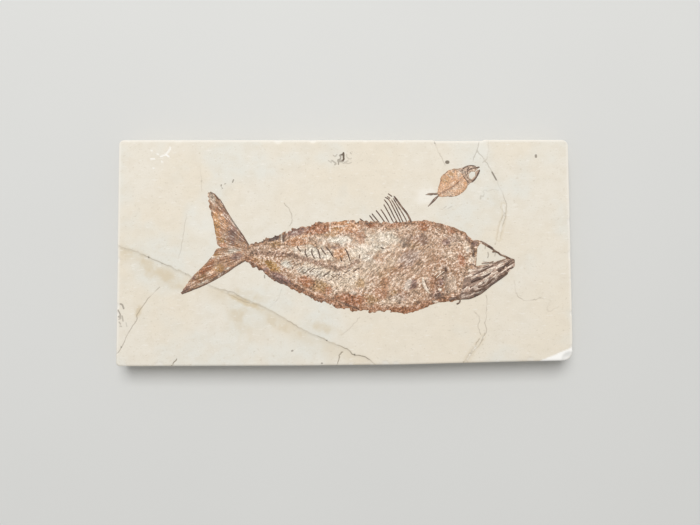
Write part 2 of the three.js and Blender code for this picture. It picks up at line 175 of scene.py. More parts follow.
# The stain beside the long crack fades out across this span, negative on the dropped side
CRACK_STAIN = (-14, -0.5)
STAIN_PATCHES = [
    (-137, -3.6, 13, 4, -24, 0.75), (-119, -15.4, 15, 5.5, -27, 0.75), (-68, -31.6, 18, 2.6, -22, 1.0),
    (-62, -28.4, 9, 3, -22, 0.55), (-69.6, -41.5, 8, 6, 0, 0.6), (-45, -46, 14, 4, -30, 0.6),
    (-29, -53.2, 7, 2.4, -25, 0.65), (-12.5, -50.3, 10, 3.4, -12, 0.6), (-62, -48, 14, 9, 0, 0.3),
    (-135.4, -39.5, 1.8, 5, -20, 0.8), (100, 36, 3, 14, 12, 0.2),
]
PALE_PATCHES = [(53.6, 37.8, 8, 6, 20, 0.35), (-96, 20, 9, 14, 0, 0.1), (92, 68, 5, 7, 0, 0.1)]
# Each pale band between a pair of cracks is (half width, how pale, route)
PALE_BANDS = [
    (0.9, 0.2, [(105.2, 31.4), (106.1, 25), (104.4, 19), (103, 13.4), (102, 9)]),
    (0.6, 0.4, [(91, -55.6), (87.6, -60.8), (82.6, -67), (79.3, -73), (78.6, -76)]),
]
FRESH_CORNER = [(125, -72.8), (150, -73.5), (151, -62), (140, -66.4), (131, -70.2)]
FRESH_SCRATCHES = [
    [(-122, 63.6), (-118.9, 64.8), (-117.2, 66.5), (-116.1, 68.1), (-115.5, 69.6)],
    [(-117.8, 64.5), (-116.6, 63.6)], [(-124, 65.3), (-123.6, 65.1)], [(-128, 67.6), (-127.8, 67.3)],
    [(-128.6, 61.8), (-126.1, 62.1)], [(-121, 60.2), (-120.8, 60)], [(-126.6, 55.8), (-126.4, 55.6)],
]
# Noises of the stone: grain size along x, y and z, the values where it begins and is full, its greatest share
STONE_NOISES = {
    "warm": ((55, 55, 55), 0.42, 0.66, 0.6),
    "cool": ((34, 34, 34), 0.45, 0.68, 0.7),
    "mottle": ((9, 7, 9), 0.4, 0.7, 0.4),
    "speckle": ((2.6, 2.6, 2.6), 0.64, 0.76, 0.34),
    "grain": ((0.9, 0.9, 0.9), 0.52, 0.74, 0.25),
    "scuff": ((4.5, 1.3, 4.5), 0.59, 0.74, 0.6),
    "pit": ((2.2, 1.5, 2.2), 0.61, 0.74, 0.6),
    "bedding": ((90, 90, 1.3), 0.42, 0.66, 0.6),
}
# Each noise of the stone is moved on by this many grains along x and y, so that no two are alike
NOISE_SHIFT = (3.7, 1.3)
# Grit of the stone and specks of the bone, drawn coarser than they are so that they show, and their depth
GRIT_SIZE = 0.5
SPECK_SIZE = 0.8
BUMP_DEPTH = 0.1


# Fish outlines and bones, the same places as the solids

BODY_STATIONS = [
    (-65, -6.2, 4.8), (-55, -12.6, 7.6), (-45, -19.4, 10.8), (-35, -23.6, 14.8), (-22, -30.2, 18.2),
    (-5, -36.2, 20.4), (15, -39.2, 20.3), (30, -39, 19.3), (40, -40.6, 19.9), (52, -37.3, 21.1),
    (61, -33.5, 19.4), (70, -32.8, 17.2), (79, -31.1, 13.3), (84.5, -28.7, 8.2), (90, -25.7, 7.4),
    (100, -19.2, 0.8), (107, -14.2, -3.2), (112.5, -9.4, -5.6),
]
TAIL_UPPER = (
    [(-62.5, 4.8), (-67.2, 12), (-71.8, 18.5), (-76.6, 26), (-82.4, 35.2), (-89.4, 41.2)],
    [(-64, -1), (-81.5, 2.8), (-84.6, 11), (-86.6, 21), (-89, 30), (-90.3, 38.5)],
)
TAIL_LOWER = (
    [(-63.5, -5.2), (-70.5, -9.2), (-77.5, -14.1), (-85.5, -18.9), (-95, -23.4), (-106.8, -28)],
    [(-64, -1), (-82, 2.6), (-86.6, -2.2), (-93.2, -9.6), (-100.4, -16.8), (-107.4, -27)],
)
TAIL_FAN_CENTRE = (-56, -0.5)
# Degrees between the rays of the tail before they split
RAY_PITCH = 4.4
# Distances from the fan's centre between which they split
RAY_SPLIT = (20, 28)
# For fraying, the depth inside a lobe grows from none at its tip to this at its root
TIP_DEPTH = 24
BACKBONE = [(-64, 0), (-54, -0.6), (-42, -1.4), (-31.4, -2.9), (-20.6, -6.2), (-14.6, -8.3), (-6.3, -10.7),
            (-1, -10.8), (3.3, -9.4), (9, -6)]
SMALL_PLACE = (62.6, 38.2)
SMALL_TURN = math.radians(30.8)
SMALL_STATIONS = [
    (-0.5, -1.6, 1.2), (4, -4.2, 5.6), (7.2, -6, 8.8), (11, -7.1, 10.1), (14.5, -7, 10.3), (18, -5.9, 9.3),
    (21.5, -4.2, 7.6), (24.5, -4.4, 7.2), (27.5, -3.4, 6.4), (30, -2.1, 4.3), (32.4, 0.4, 1.4),
]
# Outside its outline a film is sunk this far into the stone
FILM_SINK = 0.5


# Pigments of the films in the order in which they lie over each other, and the most that a share may reach

PIGMENTS = ("tan", "peach", "ash", "ochre", "rust", "plum", "umber", "cream")
PIGMENT_MOST = 1.2


# Pigment blotches of the large fish, each (x, y, half length, half width, turn in degrees, strength)

BODY_BLOTCHES = {
    "pale": [
        (-20.5, -0.4, 16.5, 5.8, -10, 1.0), (-3.5, 8, 11, 3.4, 0, 0.85), (-38, -8.2, 4.8, 3.2, -20, 1.0),
        (9.5, 0, 10.5, 6.4, -4, 1.0), (18, 5, 21, 8.6, 4, 0.85), (26, 8.4, 12, 6, 0, 0.9),
        (-17, -12.8, 19, 6, -10, 0.95), (0, -17.6, 18, 9, 0, 0.85), (10, -9, 16, 8, 0, 0.65),
        (29, -7, 10, 5, 20, 0.5), (70, -21, 4.6, 5.6, 5, 0.45), (70, -2, 6, 4, 0, 0.35),
        (72, 8, 7, 3.6, 0, 0.4), (81.3, 3.4, 2.4, 4.4, 0, 0.75), (-16, 8.5, 4, 2, -30, 0.6),
        (30, -20, 8, 6, 0, 0.3), (28, -34, 7, 4, 0, 0.4), (36, 16, 6, 2, 0, 0.3),
        (54.6, -21, 2.2, 6, 10, 0.55), (84.4, -5.2, 3, 2.6, 0, 0.9), (-33, -3.4, 6, 2.6, -10, 0.7),
    ],
    "ash": [
        (-3.5, 7.8, 9.4, 3, 0, 0.7), (-38, -8.2, 4, 2.6, -20, 0.8), (-19, -0.6, 13, 4, -8, 0.5),
        (26.5, 9, 10, 5, 0, 0.4), (-20, -13.5, 12, 3, -12, 0.45), (-33, 13, 2.2, 1, 15, 0.7),
        (43.5, -3.5, 8, 4.5, 30, 0.35), (35, -30.5, 5, 2.6, 0, 0.3), (12, 1, 8, 3.6, 0, 0.4),
        (23.7, 4, 6, 4, 0, 0.45), (15.5, -3.6, 5, 3.4, 0, 0.45),
    ],
    "ochre": [
        (-46.8, -9.4, 5.8, 3, -32, 1.1), (-15, -23, 6, 3, -20, 0.7), (10.5, -20.4, 3, 3, 0, 0.6),
        (-46, 5, 3.4, 2.2, 0, 0.5), (32.5, -27, 2.4, 1.6, 30, 0.5), (28, -13, 7, 3, 28, 0.2),
        (85.2, -0.4, 1.2, 3.4, 8, 0.9), (-57, -6, 5, 2.4, -30, 0.45), (18, -31, 5, 3.4, 0, 0.5),
        (-5.5, 15.6, 3, 1.5, 5, 0.6), (-8, 11.6, 4.5, 2.4, 0, 0.4), (47.5, 4, 4, 3.4, 0, 0.35),
    ],
    "peach": [
        (-1, 16.6, 9.5, 3.6, 2, 1.0), (-3, -1.2, 4.4, 3.6, 0, 1.0), (-30, 9.4, 7, 1, 10, 0.8),
        (-31.7, 6.3, 7.4, 2.4, 2, 0.7),
        (-15, 17, 5, 1.6, 8, 0.5), (-20, 4.5, 5.5, 0.6, -35, 0.7), (-46, -12.5, 3, 1, -30, 0.5),
        (-16, -25.5, 4, 1.6, -15, 0.5), (27, -20, 3.4, 4.4, 0, 0.5), (-24, -19.6, 4, 2.6, -25, 0.5),
    ],
    "rust": [
        (-17, 15.4, 8.6, 3.4, 6, 1.0), (-31.7, 6.3, 7.4, 2.4, 2, 0.5), (11, 9.8, 3.2, 4.4, 10, 0.6),
        (-24.8, -19.6, 5, 3.2, -25, 0.95), (-10.4, -25.4, 2.6, 2.4, -40, 0.9), (52, 17.2, 3.6, 2.6, 0, 0.9),
        (34.5, 17.6, 4, 2, 0, 0.5), (5, 13.6, 5, 1.2, 0, 0.6), (17.5, 17.6, 3, 1.4, 0, 0.9),
        (5, -31.6, 10, 3.8, -10, 1.0), (40, -38.2, 12, 2, 0, 0.8), (60, -21, 5, 7.6, 12, 0.55),
        (77.4, -5.4, 2.2, 4.2, 10, 1.0), (71, 13.4, 2.2, 1.6, -30, 0.7), (27, -20.5, 3, 4, 10, 0.5),
        (57.4, -35, 2, 1.6, 0, 0.7), (-3, -1.2, 3, 2.4, 0, 0.3), (-2, 17, 9, 1.6, 2, 0.35),
        (23.7, -27.6, 5, 3.6, 0, 0.5),
    ],
    "plum": [
        (-31.5, 13.4, 8.6, 2.3, 17, 0.85), (-51.2, -11.6, 2, 1.6, -30, 0.9), (-42, -17.4, 7, 2.8, -28, 0.95),
        (44.5, -21.4, 4.4, 2.8, 20, 0.85), (-5, 3, 4, 1, 0, 0.5), (43, -4, 8, 4.6, 30, 0.45),
        (64, -19.4, 1.6, 2.4, 0, 0.8), (71.5, 8.8, 4.6, 2.4, -10, 0.4), (86.6, 5.4, 1.9, 1.9, 0, 0.8),
        (67.4, 6.6, 2.3, 2, 0, 0.9), (60, -28, 4, 2.6, 20, 0.5),
        (50, 8, 5, 4, 0, 0.35), (39, -29, 4, 3, 0, 0.3),
    ],
    "umber": [
        (-45.6, 9.8, 4.8, 1.8, 28, 1.1), (-39.9, 8.4, 0.7, 2.5, 0, 1.0), (-57, 6.9, 7, 0.8, 8, 0.7),
        (-43, -18.6, 8.5, 1.8, -28, 0.9), (-30, -23.4, 6, 1.3, -28, 0.6), (-59, -9, 6, 1.4, -30, 0.7),
        (43.5, 10.2, 2, 2, 0, 0.5), (39.6, 4.6, 1.9, 1.7, 0, 0.8), (67.1, -11.6, 0.8, 2.6, 0, 0.9),
        (82, 8, 1.1, 2.6, 35, 0.8), (71.5, -30.6, 3.2, 1.3, 15, 0.9), (77.6, -27.4, 1.6, 1.5, 0, 0.8),
        (63.6, 17.8, 2.2, 1.6, -10, 0.55), (74, 10.6, 2.6, 1, -35, 0.4), (46, -22, 1.4, 1.2, 0, 0.8),
        (63, -28.5, 4, 1.5, 0, 0.6), (84.9, 2, 1.1, 5.2, 8, 1.0), (95, -20.6, 14, 2.3, 27, 0.8),
        (-16, -31.5, 9, 1.3, -22, 0.6),
        (61.8, -35, 0.8, 1.4, -30, 0.8), (41, 7, 3.4, 3, 0, 0.5), (52.4, 8, 2.6, 4, 0, 0.45),
        (66, -14, 1.8, 6, 8, 0.75), (61.4, -22, 1.6, 6, -6, 0.4), (62.5, -29, 3, 2, 0, 0.8),
        (76, -30, 6, 1.7, 5, 0.9), (90, -26.6, 9, 1.7, 24, 0.85), (79.5, -28.4, 4, 1.8, 12, 1.0),
    ],
    "cream": [
        (-41.3, 9.8, 0.5, 3, 0, 0.9), (-9.2, 16.4, 0.5, 3.6, 0, 0.7), (42, -21.5, 1.8, 4, -25, 0.6),
        (63.2, -24.7, 1.1, 1, 0, 1.0), (60.6, -32.8, 2.6, 0.7, -12, 0.8), (83.1, -12.2, 1.2, 1, 0, 0.9),
        (6, -27, 2.4, 1.2, 0, 0.5), (-3, 17, 6, 0.5, 3, 0.6), (81.4, 1, 1.4, 2.6, 0, 0.6),
        (85.6, -22.3, 1.7, 0.8, 30, 0.7), (89.8, -20.6, 1.6, 0.7, 30, 0.7), (93.4, -18.8, 1.6, 0.7, 30, 0.7),
        (98, -10.8, 2.4, 0.9, 30, 0.6), (96, -12.7, 2.2, 0.7, 30, 0.7), (103, -8.2, 2, 0.8, 35, 0.6),
        (84.4, -5, 2.2, 1.6, 0, 0.45), (92.5, -10.4, 4.5, 0.9, 25, 0.5),
    ],
}
TAIL_BLOTCHES = {
    "ash": [
        (-87.6, 36.5, 1.8, 5, 25, 0.7), (-72.4, 18.6, 0.7, 6.5, 32, 0.9), (-76.5, -10.9, 2.4, 0.9, 25, 0.8),
        (-93.7, -20.6, 4.5, 0.8, 25, 0.7), (-86.3, -3.6, 1.6, 1, 45, 0.5), (-73.5, 0.8, 5, 1.5, 10, 0.8),
    ],
    "ochre": [
        (-84, 17, 2, 7, 8, 0.6), (-80.8, 7.6, 2, 2, 0, 0.7), (-82.3, -10.6, 3, 2.6, 0, 0.7),
        (-83.8, -2.5, 2, 1.4, 0, 0.6), (-93.7, -16, 3, 1.2, 30, 0.5),
    ],
    "peach": [
        (-84.4, 20, 2.2, 8, 10, 1.0), (-83.2, 11.4, 1.8, 3, 0, 0.8), (-80, 21, 1.6, 6, 20, 0.6),
        (-87.2, -12.2, 2.4, 1.8, 40, 0.7), (-98, -14.2, 1.4, 1, 40, 0.6),
    ],
    "rust": [
        (-84.3, 29, 1, 3, 10, 0.6), (-79.6, 4.4, 2.4, 1.4, 0, 0.8), (-91.1, -11.3, 5, 2, 42, 1.1),
        (-87.4, -6.6, 3, 1.4, 42, 0.8), (-86, -15.6, 2.6, 1, 25, 0.7), (-79, -4.6, 4, 1.6, 20, 0.4),
        (-82, 13, 1.2, 3, 10, 0.5),
    ],
    "plum": [
        (-73.6, 12, 3.2, 5.6, 0, 0.75), (-67.6, 9.6, 1.8, 2.6, 0, 0.6), (-99.2, -17.1, 1.4, 1.4, 0, 0.7),
        (-70.6, -3, 4, 2, 10, 0.8), (-104.4, -24.8, 3.4, 1.5, 40, 0.7), (-78, 24, 1.4, 6, 28, 0.5),
    ],
    "umber": [
        (-82, -15.3, 5.6, 0.9, 32, 1.0), (-104.6, -25.4, 2.6, 0.8, 40, 0.7), (-75, 10, 4, 5, 0, 0.35),
        (-70, -3.4, 3, 1.2, 10, 0.4), (-90.5, -12.6, 6, 2, 42, 0.3),
    ],
    "cream": [(-72, 0.5, 3.6, 0.4, 12, 0.8), (-76, -1.2, 2.4, 0.4, 14, 0.5), (-98, -13.8, 0.9, 0.6, 40, 0.7)],
}
# Where the film is fibrous, and the direction of its fibres
STREAK_PATCHES = [(32, -10, 24, 17, 0, 1.0), (48, -4, 14, 16, 0, 1.0), (26, 8, 12, 7, 0, 1.0)]
STREAK_TURN = math.radians(38)
# Bare stone at the snout and in the mouth, and the jaw, as convex outlines
BARE_SNOUT = [(86.9, -9.4), (95.8, -7.9), (105, -4.9), (107, -4.2), (90.2, 6), (88, 3)]
BARE_MOUTH = [(104.4, -11.8), (113, -6.8), (113, -9.3), (107.4, -12)]
JAW_OUTLINE = [
    (76, -31), (84, -29.5), (100, -20), (113, -10), (113.2, -5.6), (104, -4.8), (86, -10.6), (79, -17),
]
# The jaw's streaks run together at this place ahead of the snout
JAW_FAN_CENTRE = (119, -3)
HERRINGBONE_TURN = math.radians(37)
HERRINGBONE_PITCH = 2.3
VERTEBRA_PITCH = 3.3
# Where along x the head begins, and where the backbone, the herringbone and the dark bands of the belly and
# the back fade in or out, each from none to full
HEAD_START = (78, 90)
BACKBONE_ENDS = ((-66, -58), (17, 6))
HERRINGBONE_ENDS = ((-48, -38), (20, 6))
BELLY_BAND_END = (78, 68)
BACK_BAND_END = (90, 84)
# Depths inside the outline between which those bands fade, and between which a film's rim rises
BELLY_BAND = (6.5, 1.2)
BACK_BAND = (4.6, 1.0)
LARGE_RIM = (-0.4, 0.3)
SMALL_RIM = (-0.3, 0.25)


# Bones of the large fish, a head bone is (route, half width or half widths along it, pigments)

DORSAL_RAYS = [
    [(44.4, 19.6), (43.6, 21.6), (41.5, 25.6), (38.2, 29.8), (35.5, 33.7), (32.8, 37.4)],
    [(41.6, 19.8), (40.4, 22.4), (38, 26.7), (35, 31.6), (32.3, 36.2)],
    [(39.8, 18), (36.3, 25.6), (33.9, 30.5), (31.2, 35.1)],
    [(38, 18.2), (34.7, 25.1), (32.3, 29.9), (29.8, 34.6), (26.9, 36.5)],
    [(35.8, 18.6), (32.8, 24), (30.7, 28.4), (28.8, 31.9), (26.3, 35.1)],
    [(33, 19), (29.6, 25.6), (26.9, 30.5), (26.3, 31.6)],
    [(30, 19.2), (26.3, 25.4), (24.2, 28.4)],
    [(27.4, 19), (23.7, 24.3), (21, 27.8)],
    [(23.4, 19.4), (20.4, 22.9), (18.3, 25.6)],
    [(20.6, 19.4), (16.6, 24.6)],
    [(13, 20.2), (10.2, 22.2)],
    [(32, 36.7), (29, 38.9)],
    [(30.7, 35.4), (28.5, 37)],
]
NEURAL_SPINES = [
    [(-31, 3.9), (-30, 2), (-28.4, 0)], [(-25.4, 2), (-25.6, -0.7), (-24.1, -3.6)],
    [(-21.1, 2.3), (-21.1, -1), (-19.2, -4.6)], [(-17.5, 2.3), (-16.4, -1), (-15.7, -4.6)],
    [(-15.5, 3.3), (-13.9, 0.6), (-11.9, -1.7)], [(-12.2, 3.3), (-9.3, 0.3), (-6.6, -4)],
    [(0.6, 2.3), (2.6, -1.3), (4.2, -6.6)], [(-2.4, -3.3), (-1.4, -6.6)], [(24, 3), (26.4, 2.2)],
    [(10.4, -1.4), (10, -4.4)],
]
FINE_SPINES = [
    [(-19.2, -17.5), (-16.9, -15.2), (-14.5, -13.5)], [(-27, -14.8), (-24.8, -12.9), (-22.1, -10.9)],
    [(-30.4, -13.2), (-28.7, -11.2), (-26.7, -9.6)],
    [(-23.1, -13.5), (-21.1, -11.9), (-19.2, -10.6)], [(-4, -15.8), (-2.7, -14.2)],
    [(0, -14.2), (1.9, -12.9), (4.2, -11.9)], [(-8.6, -15.2), (-6.6, -16.8)],
    [(-34.6, -11.6), (-33, -9.4), (-31.2, -7.8)], [(-13.6, -16.4), (-11.6, -14.6), (-9.8, -13.6)],
    [(-24.6, -16.4), (-22.6, -14.6)], [(6, -13.2), (8.4, -11.4), (10.4, -10.6)], [(-10.4, -19), (-8, -17.8)],
]
DARK = {"tan": 0.8, "umber": 1.0}
BROWN = {"tan": 0.8, "umber": 0.75}
FAINT = {"tan": 0.6, "plum": 0.4, "umber": 0.5}
LIGHT = {"cream": 0.55, "tan": 0.3}
FIN = {"tan": 0.7, "umber": 0.85, "plum": 0.2}
HEAD_BONES = [
    ([(89.9, 7.3), (93, 5.4), (95.6, 3.8), (97.8, 2.2), (99.6, 0.6), (101.6, -0.4), (103.2, -1.8),
      (105.7, -2.6), (109.2, -4.3), (112.2, -5.4)], (0.8, 0.6, 0.55, 0.5, 0.5, 0.5, 0.5), BROWN),
    ([(95.2, 4.1), (96.6, 3.1), (98.2, 2)], 0.7, DARK),
    ([(97.7, 0), (98.6, 0.3), (99.8, 0.4)], 0.5, BROWN),
    ([(96.9, -13.8), (94.7, -15), (92.2, -16.3), (90, -17.2), (87.5, -17.7), (85.3, -18.8), (83.4, -20.2)],
     (0.4, 0.6, 0.85, 1.15, 1.2, 1.0, 0.7), DARK),
    ([(98.4, -8.7), (96.4, -9.7), (93.5, -11.2), (90, -12.8), (87, -14.3), (84.4, -15.7)],
     (0.35, 0.5, 0.6, 0.6, 0.5, 0.35), {"tan": 0.8, "plum": 0.5, "umber": 0.7}),
    ([(82, -8), (85, -8.3), (86.3, -9.5), (88.8, -10.6)], 0.38, BROWN),
    ([(91, -10.5), (94.1, -9.5), (95.6, -8.8)], 0.34, BROWN),
    ([(90.6, -7.5), (92.8, -7.2), (96.6, -6.9), (98.5, -6.1)], 0.38, FAINT),
    ([(99.1, -7.8), (101, -6.5), (103.8, -5.6), (105.7, -4.7)], 0.45, FAINT),
    ([(101, -12.5), (102.6, -11.6), (104.5, -10.3), (105.6, -9)], (0.9, 1.25, 1.0, 0.6), DARK),
    ([(105.4, -9), (107.3, -7.8), (109.2, -6.2), (110.7, -5.1), (112.4, -5.4)],
     (0.6, 0.8, 0.8, 0.7, 0.5), DARK),
    ([(106.7, -9.8), (108.9, -8.4), (112.3, -6.4)], 0.5, BROWN),
    ([(107.4, -12.5), (108.2, -11.4), (109.8, -10.8), (111.8, -9.7)], (0.4, 0.5, 0.45, 0.3), DARK),
    ([(100.8, -16.2), (103.8, -14.8), (106, -13.9), (107.8, -14)], (0.5, 0.95, 1.05, 0.7), BROWN),
    ([(107.8, -14.2), (104.6, -16.2), (101.4, -18.3), (98.9, -20), (96.3, -21.8), (93.3, -24.3),
      (89.7, -27), (86.6, -28.4), (83.7, -29.6), (80.9, -30.3), (77, -31)],
     (0.45, 0.6, 0.65, 0.7, 0.7, 0.75, 0.9, 0.9, 0.6), DARK),
    ([(99.4, -17.2), (97.5, -18.1), (94.7, -20.3), (92.5, -21.9), (90, -22.9), (87.8, -23.5)],
     (0.4, 0.6, 0.6, 0.5, 0.5, 0.4), BROWN),
    ([(93.8, -22.9), (91.9, -24), (89.7, -24.7), (86.9, -26), (84.7, -25.8)], 0.48, BROWN),
    ([(86.6, -21), (85, -22.2), (83.4, -22.9), (82.9, -24)], 0.42, BROWN),
    ([(82.2, -21.1), (80.6, -22.1), (79, -23.5), (77.6, -24.6)], 0.5, BROWN),
    ([(79.6, -27.4), (81.4, -27), (83, -26.7), (84.4, -27.2)], (0.7, 0.9, 0.8, 0.5), FAINT),
    ([(96, -12.4), (93.6, -13.5), (91.2, -14.6)], 0.45, LIGHT),
    ([(100.4, -14.7), (98.9, -15.9), (97.6, -17)], 0.35, LIGHT),
    ([(51.6, -16.4), (52.2, -19.8), (53.6, -23.4), (56, -27.4)], (0.6, 1.2, 1.2, 0.6), LIGHT),
    ([(53.2, -18.4), (53.9, -21.4), (55.4, -24.6)], 0.42, BROWN),
    ([(66.9, -9.6), (67.1, -13.2)], 0.55, DARK),
    ([(60.4, -17.2), (63, -14.8), (66, -12.6)], 0.32, LIGHT),
    ([(59.2, -15.8), (61.6, -13.4), (63.4, -12.2)], 0.28, LIGHT),
    ([(84.8, 7), (86.4, 7.4), (88, 6.6), (88.6, 5)], 0.45, FAINT),
    ([(76.4, -31.6), (75.6, -33.4), (73.8, -34.2)], 0.45, BROWN),
    ([(74.4, -30.4), (71.4, -30.8), (68.6, -31.6)], (0.6, 0.95, 0.7), DARK),
    ([(-2.6, -33.2), (4, -35.2), (10.4, -38)], 0.45, BROWN),
    ([(38.4, -8.5), (36.9, -9.8), (35.5, -10.8)], 0.4, FAINT),
]
# Each group of like bones is (routes, half width, share of the rise, depth of the middle, pigments)
BONE_GROUPS = [
    (DORSAL_RAYS[:1], 0.68, 0.55, 0.02, FIN),
    (DORSAL_RAYS[1:], 0.42, 0.55, 0.02, FIN),
    (NEURAL_SPINES, 0.42, 0.6, -0.26, {"tan": 0.5, "umber": 1.0}),
    (FINE_SPINES, 0.32, 0.5, -0.26, {"tan": 0.5, "umber": 0.8}),
]
# Share of the rise and depth of the middle of the head's bones
HEAD_SHARE = 0.75
HEAD_SINK = -0.4
# The gill cover's rays: how many, the first and the last, half width, share of the rise, depth of the middle
GILL_RAYS = 8
GILL_FIRST = np.array([(66.6, -16.4), (66.4, -22), (67.6, -28)])
GILL_LAST = np.array([(73, -15.8), (73.2, -22), (74.4, -26.8)])
GILL_HALF = 0.3
GILL_SHARE = 0.5
GILL_SINK = -0.32
# How far the rims of the tail's lobes are frayed
UPPER_FRAYING = 1.5
LOWER_FRAYING = 0.5


# Bones and blotches of the small fish, as the large one's, but routes and outlines are in its own frame

# Where along x the head begins, and the heights of the midline at three places
SMALL_HEAD = (20.2, 21.4)
SMALL_MIDLINE = ((0, 12, 19), (-0.2, -0.3, 1.4))
# Share of the rise of its bones, and depth of the middle of the bones and of the tail's lobes
SMALL_SHARE = 0.6
SMALL_SINK = -0.28
SMALL_TAIL_SINK = -0.04
SMALL_CHEEK = [(23.8, -2.8), (27.6, -2), (29, 0.6), (26.6, 2.2), (24, 1.5), (23.1, -0.8)]
SMALL_MOUTH = [(28, 0.7), (34, 0.2), (34, 2.2)]
SMALL_BONES = [
    ([(0.6, -0.2), (6, -0.3), (12, -0.3), (17, 0.8)], 0.26, {"tan": 0.8, "umber": 0.5, "rust": 0.3}),
    ([(22, 6.6), (20.7, 3.4), (20.5, 0), (21.4, -3.8)], 0.3, {"tan": 0.5, "umber": 0.8}),
    ([(32, 0), (29.6, -1.5), (26.6, -3.3), (23, -4.3)], 0.45, {"tan": 0.4, "umber": 0.85}),
    ([(33, 1.7), (30.4, 2.6), (27.6, 3.6), (24.6, 3.6)], 0.42, {"tan": 0.4, "umber": 0.92, "plum": 0.4}),
    ([(31, 3.4), (28, 5.7), (25, 6.6), (22.4, 6.4)], 0.4, {"tan": 0.4, "umber": 0.85, "plum": 0.4}),
    ([(27, 5.2), (25.2, 4.2), (24, 2.4), (22.6, 1.6)], 0.36, {"tan": 0.3, "umber": 0.9}),
    ([(23.4, 4.6), (22.4, 2), (22.4, -1.2)], 0.28, {"tan": 0.3, "umber": 0.75}),
    ([(22, 0.4), (22.6, -2), (24, -3.4)], 0.26, {"tan": 0.4, "umber": 0.7}),
]
SMALL_TAIL = [
    ([(0.6, 0.4), (-2.4, 1.7), (-4.8, 2.8), (-7.6, 4.4)], (0.25, 0.75, 0.4, 0.7, 0.3, 0.2),
     {"tan": 0.3, "umber": 0.6, "plum": 0.35}),
    ([(-1.4, 1.6), (-3.6, 2.9), (-6.2, 4.2)], 0.36, {"tan": 0.3, "umber": 0.55, "plum": 0.35}),
    ([(0.4, -0.5), (-3.2, -1.3), (-6.6, -2.3), (-10.4, -3.4)], (0.3, 0.6, 0.9, 0.7, 0.4, 0.15),
     {"tan": 0.3, "umber": 0.78, "plum": 0.25}),
]
SMALL_BLOTCHES = {
    "brown": [
        (70.2, 38.6, 2.6, 1.8, 0, 0.8), (66.2, 38.8, 2.8, 1.2, 20, 0.8), (75.3, 43.4, 3, 2, 30, 0.7),
        (77.1, 45.6, 2, 1.6, 30, 0.7), (72, 42.6, 2.6, 1, 32, 0.8),
    ],
    "ash": [(76, 51.1, 1.4, 2.6, 0, 0.45), (79, 53.4, 1.6, 1.4, 0, 0.5)],
    "ochre": [
        (67.3, 47.8, 2.4, 1.5, 0, 0.75), (70.9, 51.8, 1.9, 1.2, -20, 0.75), (68.6, 49.6, 1.5, 1, 0, 0.5),
    ],
    "rust": [(64, 46.4, 0.8, 2.2, 0, 0.5), (72.4, 48.2, 1.2, 0.9, 0, 0.5), (66, 39, 2.4, 0.8, 25, 0.4)],
    "umber": [
        (67.2, 52.6, 2, 0.5, 42, 0.9), (72.7, 53.5, 0.5, 0.8, 0, 0.9), (72.4, 54.6, 4, 0.5, 0, 0.6),
        (79.3, 40.6, 0.6, 1.2, 0, 0.7), (69, 36.7, 5, 0.5, 2, 0.6),
    ],
    "cream": [(70.5, 50.2, 2.4, 0.5, -25, 0.4), (73.4, 42, 1.4, 0.9, 0, 0.3), (72, 45.4, 2, 0.7, 45, 0.3)],
}


# Stage: sizes and places in metres unless they say otherwise, turns in degrees

SENSOR_WIDTH_MM = 36.0
IMAGE_WIDTH = 700
VIEW_TARGET_MM = (3.93, -6.93)
NEAREST_SEEN = 0.01
KEY_SIZE = 1.1
KEY_PLACE = (-0.1, 0.82, 1.66)
KEY_TURN = (-26.5, -4, 0)
FLOOR_HALF = 1.5
FLOOR_POINTS = 9
FLOOR_CLOUDS_PER_METRE = 6.0


# Random lattices repeat after this many cells
LATTICE = 128
# Corners of a bone's oval section, and samples for each span of its route
BONE_SIDES = 8
BONE_SAMPLES = 5


# Fields over the face of the slab

def noise(x, y, size, seed):
    """Random field from 0 to 1: random values on a square lattice of the given cell size, blended
    across each cell by the smoothstep curve."""
    table = np.random.default_rng(seed).random((LATTICE, LATTICE))
    u = x / size
    v = y / size
    i = np.floor(u).astype(int)
    j = np.floor(v).astype(int)
    a = (u - i) ** 2 * (3 - 2 * (u - i))
    b = (v - j) ** 2 * (3 - 2 * (v - j))
    i0, i1, j0, j1 = i % LATTICE, (i + 1) % LATTICE, j % LATTICE, (j + 1) % LATTICE
    low = table[i0, j0] * (1 - a) + table[i1, j0] * a
    high = table[i0, j1] * (1 - a) + table[i1, j1] * a
    return low * (1 - b) + high * b


def clouds(x, y, size, seed, octaves=3):
    """Noise of halving size and strength added up, each layer turned so that no lattice shows; 0 to 1."""
    total = np.zeros(np.shape(x))
    weight = 0.0
    for k in range(octaves):
        turn = 0.5 + 1.1 * k
        u = x * math.cos(turn) - y * math.sin(turn)
        v = x * math.sin(turn) + y * math.cos(turn)
        total += noise(u, v, size / 2 ** k, seed + k) / 2 ** k
        weight += 1 / 2 ** k
    return total / weight


def ramp(low, high, value):
    """Smoothstep: 0 below low, 1 above high, an S curve between."""
    t = np.clip((value - low) / (high - low), 0, 1)
    return t * t * (3 - 2 * t)


def spline(points, per_span=8):
    """Uniform Catmull-Rom curve through the points, one row for each sample."""
    p = np.array(points, float)
    p = np.vstack([p[:1], p, p[-1:]])
    t = np.linspace(0, 1, per_span, endpoint=False)[:, None]
    spans = []
    for a, b, c, d in zip(p, p[1:], p[2:], p[3:]):
        spans.append(0.5 * (2 * b + (c - a) * t + (2 * a - 5 * b + 4 * c - d) * t ** 2
                            + (3 * b - a - 3 * c + d) * t ** 3))
    return np.vstack(spans + [p[-1:]])


def along_spline(points, count):
    """Points at even steps of the curve's own parameter."""
    dense = spline(points, 16)
    at = np.linspace(0, len(dense) - 1, count)
    return np.stack([np.interp(at, np.arange(len(dense)), column) for column in dense.T], -1)


